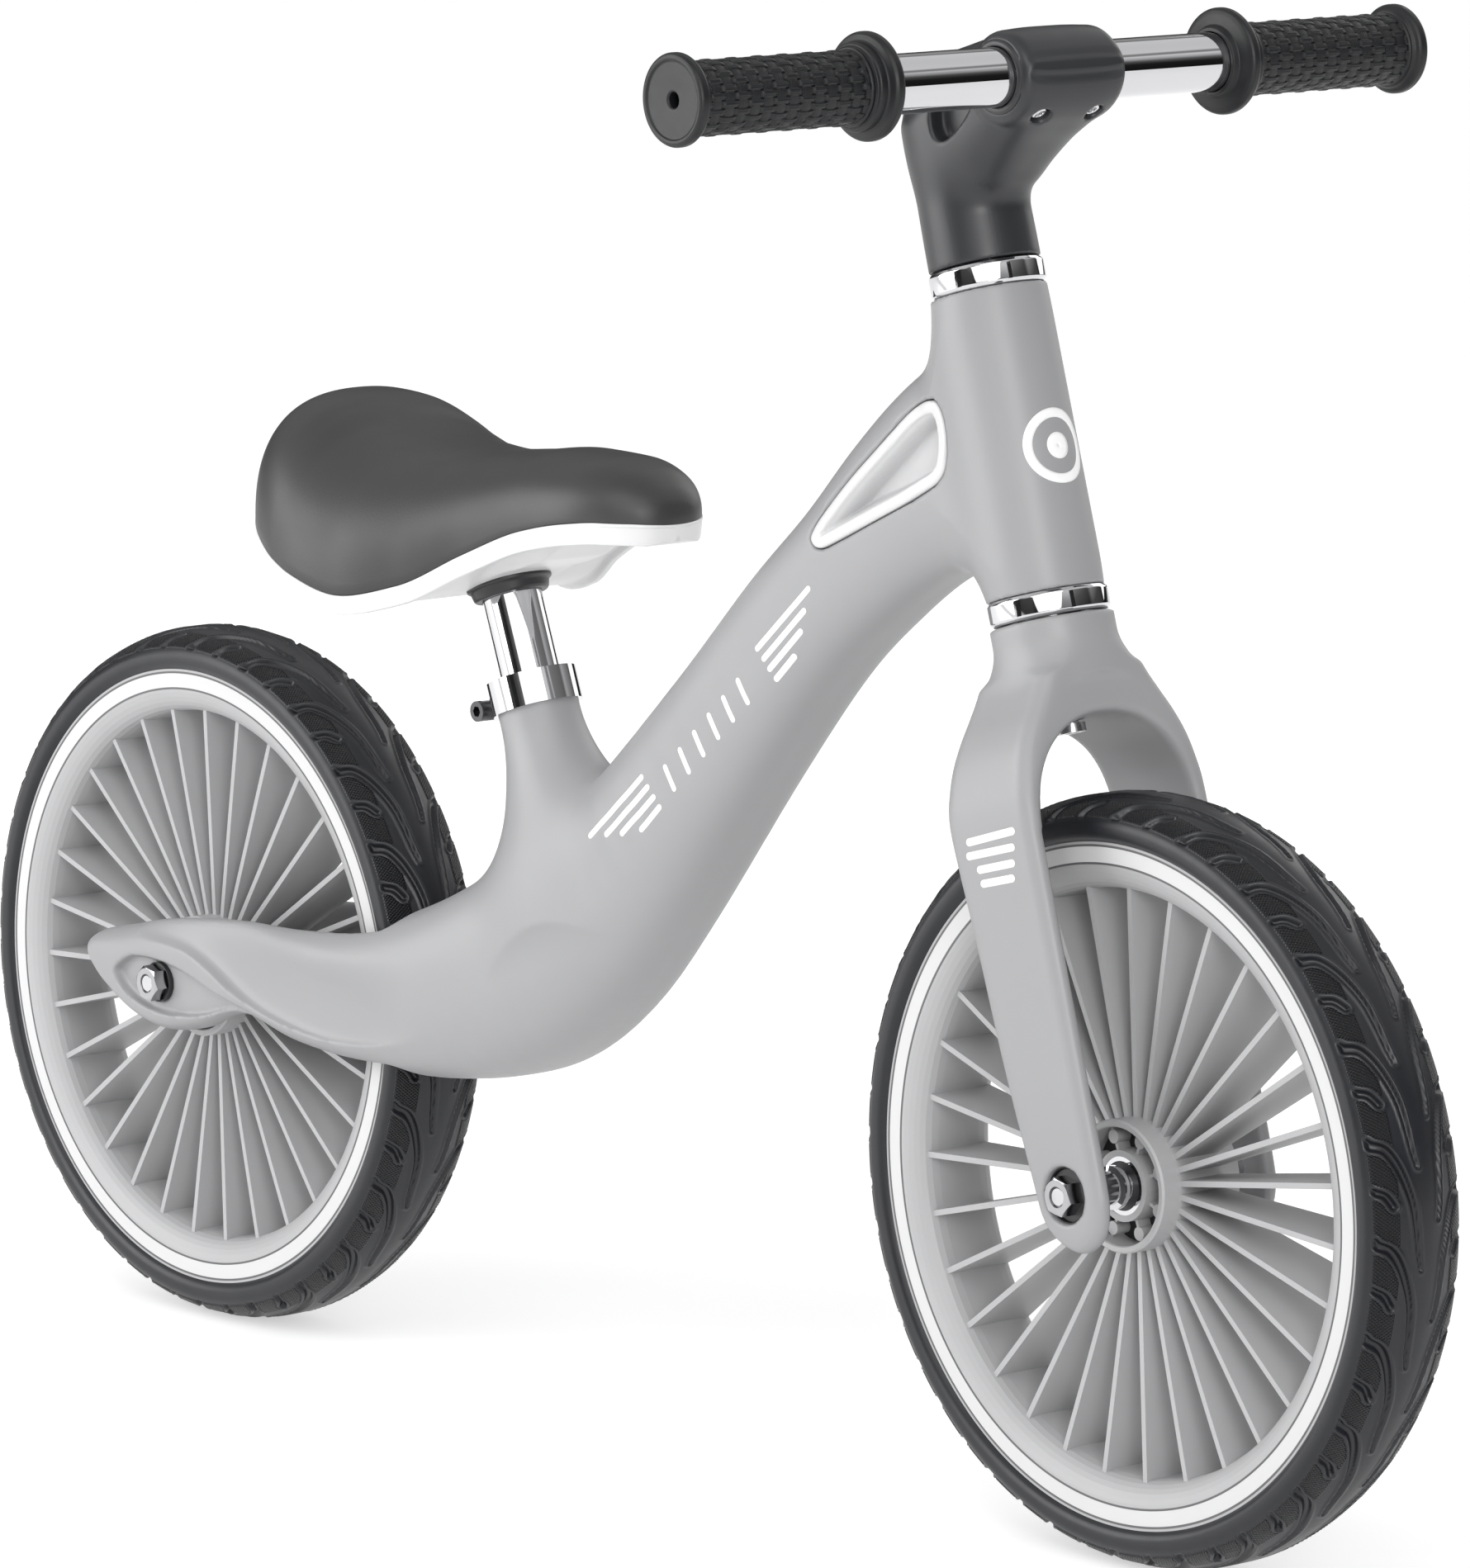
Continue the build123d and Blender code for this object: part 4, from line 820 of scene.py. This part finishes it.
def tyre(tag, cx, body):
    nt_ = REPEATS * 72
    nv_ = 112
    fine = spline(TY, 400)
    seg = np.concatenate([[0], np.cumsum(np.hypot(*np.diff(fine, axis=0).T))])
    v = np.linspace(0, seg[-1], nv_)
    pr, py = np.interp(v, seg, fine[:, 0]), np.interp(v, seg, fine[:, 1])
    dr, dy = np.gradient(pr, v), np.gradient(py, v)
    nr, ny_ = -dy * -1, dr * -1          # outward: up for growing y
    ln = np.hypot(nr, ny_)
    nr, ny_ = nr / ln, ny_ / ln
    th = np.arange(nt_) / nt_ * 360.0
    period = 360.0 / REPEATS
    k_mm = 2 * math.pi * 144.0 / 360.0
    disp = np.zeros((nt_, nv_))
    knurl = np.zeros((nt_, nv_))
    base_th = np.linspace(0, period, nt_ // REPEATS, endpoint=False)
    for sgn, off in ((1, 0.0), (-1, period * 0.47)):
        ylocal = py * sgn
        Tm, Ym = np.meshgrid(base_th, ylocal, indexing="ij")
        dl = np.full(Tm.shape, 1e9)
        al = np.zeros(Tm.shape)
        dsh = np.full(Tm.shape, 1e9)
        cl = spline(np.array(LONG) * [k_mm, 1], 40)
        cs = spline(np.array(SHORT) * [k_mm, 1], 14)
        for k in (-1, 0, 1, 2):
            tt = (Tm - off - k * period) * k_mm
            d, a_ = line_dist(cl, tt, Ym)
            al = np.where(d < dl, a_, al)
            dl = np.minimum(dl, d)
            d, _ = line_dist(cs, tt, Ym)
            dsh = np.minimum(dsh, d)
        w_l = 2.15 - 1.3 * al                       # half width narrows to the tip
        depth = 2.1 - 1.0 * al
        prof_l = depth * (1 - ss(dl, w_l * 0.45, w_l)) - 0.55 * np.exp(-((dl - w_l - 0.55) / 0.5) ** 2)
        prof_s = 1.7 * (1 - ss(dsh, 0.5, 1.5)) - 0.5 * np.exp(-((dsh - 2.05) / 0.5) ** 2)
        side = ss(-Ym, 0.0, 0.8) * (1 - ss(-Ym, 20.2, 21.6))
        cut = np.where(dl - w_l < dsh - 1.5, prof_l, prof_s)
        far = np.minimum(dl - w_l, dsh - 1.5)
        kn = ss(far, 1.1, 1.6) * ss(-Ym, 12.6, 13.1) * (1 - ss(-Ym, 20.6, 21.2))
        bead = ss(pr, 133.8, 135.4)[None, :]
        side, kn = side * bead, kn * bead
        tile = lambda A: np.tile(A, (REPEATS, 1))
        disp += tile(-cut * side + 0.38 * kn)
        knurl += tile(kn)
    Rr = np.minimum(pr[None, :] + disp * nr[None, :], 144.49)
    Yy = py[None, :] + disp * ny_[None, :]
    a = np.radians(th)[:, None]
    Pt = np.stack([cx + Rr * np.cos(a), Yy + 0 * a, Rr * np.sin(a)], -1)
    inner = np.array([(126.9, 18.6), (119.7, 15.3), (117.2, 11.8), (117.2, -11.8), (119.7, -15.3), (126.9, -18.6)])
    Pin = np.stack([cx + inner[None, :, 0] * np.cos(a), inner[None, :, 1] + 0 * a, inner[None, :, 0] * np.sin(a)], -1)
    P = np.concatenate([Pt, Pin], 1)
    nv2 = P.shape[1]
    q = grid_quads(nt_, nv2, True, True)
    kk = np.concatenate([knurl, np.zeros((nt_, len(inner)))], 1).ravel()
    U = np.concatenate([th * k_mm, [360 * k_mm]])
    V = np.concatenate([v, v[-1] + 5 * np.arange(1, len(inner) + 2)])
    I = q[:, 0] // nv2
    J = q[:, 0] % nv2
    uv = np.stack([np.stack([U[I], V[J]], 1), np.stack([U[I + 1], V[J]], 1), np.stack([U[I + 1], V[J + 1]], 1), np.stack([U[I], V[J + 1]], 1)], 1).reshape(-1, 2) / 100.0
    return mesh_obj(tag + "_tread", P.reshape(-1, 3), q, body, M["tyre"], (tag + "_tyre",), uv=uv, attrs={"knurl": kk})


tyre("front", WB, "front_wheel")
tyre("rear", 0.0, "rear_wheel")


# thin dark lines along both edges of the pale band
for tag_, cx_ in (("front", WB), ("rear", 0.0)):
    for side, sg in (("right", -1), ("left", 1)):
        for nm, ra, rb_ in (("inner", 119.55, 120.35), ("outer", 126.15, 127.0)):
            lathe("band_line_" + nm + "_" + tag_ + "_" + side, [(ra, sg * 20.2), (rb_, sg * 20.2), (rb_, sg * 20.58), (ra, sg * 20.58)], on_y(cx_, 0), tag_ + "_wheel", M["line"], rad=0.05, n=256)

# ---------------------------------------------------------------- grips
def grip(tag, sg):
    head = rounded([(11.12, 82.0), (12.8, 82.0), (13.6, 84.4), (17.6, 85.2), (19.4, 85.8), (20.05, 86.8), (20.05, 88.9), (19.2, 90.2), (16.9, 90.9), (16.3, 91.4), (16.3, 94.0), (15.9, 94.6),
                    (14.9, 94.9), (14.7, 96.2)], 0.5)[3:]
    nb = 370
    yb = np.linspace(96.8, 172.2, nb)
    body_ = np.stack([np.full(nb, 13.35), yb], 1)
    tail = rounded([(14.3, 173.0), (15.0, 174.2), (16.4, 175.0), (17.0, 176.0), (17.0, 178.2), (16.5, 179.1), (15.3, 179.5), (14.4, 179.3), (14.1, 178.9), (13.6, 178.75), (3.4, 178.75),
                    (2.8, 178.2), (2.8, 174.0), (11.12, 173.9)], 0.35)
    pr = np.vstack([head, body_, tail])
    n = 420
    ph = np.arange(n) / n * 2 * math.pi
    Rr = np.tile(pr[:, 0], (n, 1))
    i0, i1 = len(head), len(head) + nb
    rows = 28
    u = ph * rows / (2 * math.pi)
    row = np.floor(u)
    du = (u - row - 0.5) * (2 * math.pi * 13.35 / rows)
    Yb = yb[None, :]
    par = (row % 2)[:, None]
    wave = np.cos(math.pi * ((Yb - 96.8) / 6.0 + par))
    lay = np.maximum(1 - (du[:, None] / 1.5) ** 2 * 0.5, 0) * (0.42 + 0.34 * np.tanh(2.4 * wave)) - 0.5 * ss(np.abs(du[:, None]), 1.22, 1.5)
    lay = lay + 0.05 * np.cos(du[:, None] / 0.95 * 2 * math.pi)
    jj = np.round((Yb - 96.8) / 6.0)
    dv = (Yb - 96.8) - jj * 6.0
    hoop = np.where(np.abs(dv) < 1.9, (1 - (dv / 1.9) ** 2 * 0.5) * 0.34 + 0.04 * np.cos(dv / 0.95 * 2 * math.pi), -0.3) + 0 * u[:, None]
    wv = 1.35 * np.maximum(lay, hoop) - 0.5
    fade = ss(Yb, 96.8, 98.0) * (1 - ss(Yb, 171.2, 172.2))
    Rr[:, i0:i1] += wv * fade
    P = np.stack([bx + Rr * np.cos(ph)[:, None], sg * np.tile(pr[:, 1], (n, 1)), bz + Rr * np.sin(ph)[:, None]], -1).reshape(-1, 3)
    mesh_obj(tag + "_cover", P, grid_quads(n, len(pr), True, True), "fork_assembly", M["grip"], (tag,))


grip("grip_right", -1)
grip("grip_left", 1)

# ---------------------------------------------------------------- saddle
SAD = np.array([  # x, half width, rim z, crown z
    (66.0, 0.0, 213.4, 229.5), (67.0, 13.8, 212.9, 235.2), (69.2, 23.8, 211.8, 240.2), (73.0, 35.0, 209.7, 245.8), (80.0, 47.0, 205.6, 250.4), (88.0, 54.2, 201.1, 252.0), (98.0, 59.3, 195.9, 251.3), (110.0, 62.6, 190.0, 247.2), (122.0, 63.6, 185.4, 242.0),
    (148.0, 60.4, 179.3, 236.5), (176.0, 51.4, 185.3, 235.3), (204.0, 40.9, 199.5, 237.6), (232.0, 34.2, 211.2, 240.7),
    (256.0, 30.6, 216.2, 240.2), (270.0, 25.6, 217.6, 237.0), (280.0, 18.6, 217.6, 231.6), (286.0, 10.6, 217.2, 225.4), (288.0, 0.0, 216.8, 219.6)])


def saddle_at(x):
    w = np.sqrt(np.maximum(pchip(x, SAD[:, 0], SAD[:, 1] ** 2), 0))
    return w, pchip(x, SAD[:, 0], SAD[:, 2]), pchip(x, SAD[:, 0], SAD[:, 3])


nu = 200
nv = 160
uu = (1 - np.cos(np.linspace(0.012, 1 - 0.012, nu) * math.pi)) / 2
sx = 66.0 + (288.0 - 66.0) * uu
w, zr, zc = saddle_at(sx)
w = np.maximum(w, 0.15)
phi = np.arange(nv) / nv * 2 * math.pi
c, s = np.cos(phi)[None, :], np.sin(phi)[None, :]
W, ZR, HT = w[:, None], zr[:, None], (zc - zr)[:, None]
roll = np.minimum(W * 0.3, 3.2)
yy = W * np.sign(c) * np.abs(c) ** 0.86
zz = np.where(s >= 0, ZR + HT * np.abs(s) ** 0.80, ZR - roll * np.abs(s) ** 0.9)
yy = np.where(s < 0, yy * (1 - 0.03 * np.abs(s)), yy)
Pc = np.stack([np.broadcast_to(sx[:, None], yy.shape), yy, zz], -1)


def capped(P3):
    """Grid of closed rings to a mesh with a fan of quads closing each end."""
    n_, m_ = P3.shape[:2]
    V = P3.reshape(-1, 3)
    q = [grid_quads(n_, m_, False, True)]
    V = np.vstack([V, P3[0].mean(0)[None], P3[-1].mean(0)[None]])
    e = []
    for k in range(0, m_, 2):
        e.append((n_ * m_, k, k + 1, (k + 2) % m_))
        b = (n_ - 1) * m_
        e.append((n_ * m_ + 1, b + (k + 2) % m_, b + k + 1, b + k))
    return V, np.vstack([q[0], np.array(e)])


V, Q = capped(Pc)
cushion = mesh_obj("saddle_pad", V, Q, "seat", M["saddle"], ("saddle_cushion",))

# white shell under the pad: rim, then an underside that swells round the post
nvs = 140
vv = np.linspace(-1, 1, nvs)
W2 = (w * 1.0 + 0.35)[:, None]
ydn = W2 * np.sign(vv)[None, :] * (1 - (1 - np.abs(vv)[None, :]) ** 1.7)
rel = np.abs(ydn) / np.maximum(W2, 1e-6)
thick = np.interp(sx, [66, 74, 100, 150, 230, 270, 284, 288], [2.5, 4.5, 6.5, 7.0, 7.5, 8.0, 8.0, 6.0])[:, None]
edge_w = 3.2 / np.maximum(W2, 3.2)
zdn = (zr - 1.2)[:, None] - thick * (1 - ss(rel, 1 - 0.55 * edge_w, 1.0) ** 2 * 0.9) + 2.6 * (1 - ss(rel, 1 - 2.2 * edge_w, 1 - 1.2 * edge_w)) * ss(W2, 15, 24)
hump_line = np.interp(sx, [120, 136, 150, 168, 190, 210, 224, 233, 241, 249], [196, 184.0, 183.5, 184.6, 187.8, 192.0, 196.5, 202.5, 209.0, 217.0])[:, None]
hump_half = np.interp(sx, [130, 160, 215, 240], [22.0, 28.0, 26.0, 22.0])[:, None]
hump = hump_line + 14 * ss(np.abs(ydn), hump_half * 0.62, hump_half * 1.25)
m = ((sx > 122) & (sx < 248))[:, None]
zdn = np.where(m, smin(zdn, hump, 6.0), zdn)
ztop = np.broadcast_to((zr - 0.6)[:, None], zdn.shape)
P_low = np.stack([np.broadcast_to(sx[:, None], ydn.shape), ydn, zdn], -1)
P_top = np.stack([np.broadcast_to(sx[:, None], ydn.shape), ydn[:, ::-1] * 0.995, ztop], -1)[:, ::1]
P_s = np.concatenate([P_low, P_top[:, 1:-1]], 1)
if P_s.shape[1] % 2:
    P_s = P_s[:, :-1]
V, Q = capped(P_s)
mesh_obj("saddle_shell", V, Q, "seat", M["white"], ("saddle_base",))

# ---------------------------------------------------------------- floor, light, camera
bpy.ops.mesh.primitive_plane_add(size=40, location=(0, 0, 0))
floor = bpy.context.active_object
floor.name = "floor"
fm = bpy.data.materials.new("floor_pale")
fm.use_nodes = True
fb = fm.node_tree.nodes["Principled BSDF"]
fb.inputs["Base Color"].default_value = (0.62, 0.62, 0.62, 1)
fb.inputs["Emission Color"].default_value = (1, 1, 1, 1)
fb.inputs["Emission Strength"].default_value = 0.53
fb.inputs["Roughness"].default_value = 0.8
floor.data.materials.append(fm)

scene = bpy.context.scene
scene.view_settings.view_transform = "Standard"
wd = bpy.data.worlds.new("studio")
scene.world = wd
wd.use_nodes = True
wn = wd.node_tree
bg = wn.nodes["Background"]
tcw = wn.nodes.new("ShaderNodeTexCoord")
sep = wn.nodes.new("ShaderNodeSeparateXYZ")
wn.links.new(tcw.outputs["Generated"], sep.inputs[0])


def world_ramp(value, lo, hi, stops):
    mr_ = wn.nodes.new("ShaderNodeMapRange")
    mr_.inputs["From Min"].default_value = lo
    mr_.inputs["From Max"].default_value = hi
    wn.links.new(value, mr_.inputs["Value"])
    r_ = wn.nodes.new("ShaderNodeValToRGB")
    e_ = r_.color_ramp.elements
    e_[0].position, e_[0].color = 0.0, (stops[0][1],) * 3 + (1,)
    e_[1].position, e_[1].color = 1.0, (stops[-1][1],) * 3 + (1,)
    for pos, val in stops[1:-1]:
        x_ = e_.new((pos - lo) / (hi - lo))
        x_.color = (val, val, val, 1)
    wn.links.new(mr_.outputs["Result"], r_.inputs["Fac"])
    return r_.outputs["Color"]


height_tone = world_ramp(sep.outputs[2], -0.2, 1.0, [(-0.2, 0.8), (0.0, 0.6), (0.02, 0.05), (0.2, 0.1), (0.34, 0.45), (0.42, 0.95), (0.52, 1.0), (0.56, 0.35), (0.60, 0.35), (0.64, 0.95), (0.86, 0.85), (1.0, 0.6)])
at2 = wn.nodes.new("ShaderNodeMath")
at2.operation = "ARCTAN2"
wn.links.new(sep.outputs[1], at2.inputs[0])
wn.links.new(sep.outputs[0], at2.inputs[1])
D = math.pi / 180
turn_tone = world_ramp(at2.outputs[0], -math.pi, math.pi, [(-math.pi, 0.7), (-150 * D, 0.3), (-112 * D, 0.9), (-88 * D, 1.0), (-74 * D, 0.9), (-66 * D, 0.12), (-34 * D, 0.1), (-26 * D, 0.95), (6 * D, 1.0),
                                                          (12 * D, 0.3), (44 * D, 0.2), (52 * D, 0.95), (76 * D, 0.9), (86 * D, 0.25), (150 * D, 0.5), (math.pi, 0.7)])
low = wn.nodes.new("ShaderNodeMapRange")
low.inputs["From Min"].default_value = 0.5
low.inputs["From Max"].default_value = 0.62
wn.links.new(sep.outputs[2], low.inputs["Value"])
mixw = wn.nodes.new("ShaderNodeMix")
mixw.data_type = "RGBA"
mixw.inputs[7].default_value = (1, 1, 1, 1)
wn.links.new(low.outputs["Result"], mixw.inputs[0])
wn.links.new(turn_tone, mixw.inputs[6])
mulw = wn.nodes.new("ShaderNodeMix")
mulw.data_type = "RGBA"
mulw.blend_type = "MULTIPLY"
mulw.inputs[0].default_value = 1.0
wn.links.new(height_tone, mulw.inputs[6])
wn.links.new(mixw.outputs[2], mulw.inputs[7])
wn.links.new(mulw.outputs[2], bg.inputs["Color"])
bg.inputs["Strength"].default_value = 0.85

sun = bpy.data.lights.new("key", "SUN")
sun.energy = 1.3
sun.angle = math.radians(60)
so = bpy.data.objects.new("key", sun)
scene.collection.objects.link(so)
so.rotation_euler = Vector((0.58, -0.62, 0.56)).to_track_quat("Z", "Y").to_euler()

for nm, loc, wide, tall, watts in (("side_box", (-1.65, -2.1, 0.95), 2.2, 1.7, 50.0), ("front_box", (2.6, -1.5, 1.1), 0.8, 0.8, 22.0), ("far_box", (-0.4, 2.4, 1.3), 1.8, 1.6, 14.0)):
    al = bpy.data.lights.new(nm, "AREA")
    al.energy = watts
    al.shape = "RECTANGLE"
    al.size, al.size_y = wide, tall
    ao = bpy.data.objects.new(nm, al)
    scene.collection.objects.link(ao)
    ao.visible_camera = False
    ao.location = loc
    ao.rotation_euler = (Vector(loc) - Vector((-0.05, 0, 0.33))).to_track_quat("Z", "Y").to_euler()

# black cards standing off camera, for the dark streaks in the chrome
cm = bpy.data.materials.new("card_black")
cm.use_nodes = True
cm.node_tree.nodes["Principled BSDF"].inputs["Base Color"].default_value = (0.01, 0.01, 0.01, 1)
cm.node_tree.nodes["Principled BSDF"].inputs["Roughness"].default_value = 0.9
for nm, az, half in (("card_side", -94.0, 5.0), ("card_front", 5.0, 4.0)):
    a0, a1 = math.radians(az - half), math.radians(az + half)
    pts = [(1.9 * math.cos(a), 1.9 * math.sin(a), z) for a, z in ((a0, 0.002), (a1, 0.002), (a1, 1.3), (a0, 1.3))]
    me = bpy.data.meshes.new(nm)
    me.from_pydata(pts, [], [(0, 1, 2, 3)])
    me.materials.append(cm)
    card = bpy.data.objects.new(nm, me)
    scene.collection.objects.link(card)
    card.visible_camera = card.visible_diffuse = card.visible_shadow = False

cam = bpy.data.cameras.new("cam")
cam.sensor_fit = "VERTICAL"
cam.sensor_height = 36.0
cam.sensor_width = 36.0 * 1780 / 1899
cam.lens = CAM_F * 36.0 / 1899
cam.clip_end = 50
co = bpy.data.objects.new("cam", cam)
scene.collection.objects.link(co)
co.matrix_world = Matrix(((CAM_R[0], CAM_U[0], CAM_B[0], CAM_C[0]), (CAM_R[1], CAM_U[1], CAM_B[1], CAM_C[1]), (CAM_R[2], CAM_U[2], CAM_B[2], CAM_C[2]), (0, 0, 0, 1)))
scene.camera = co
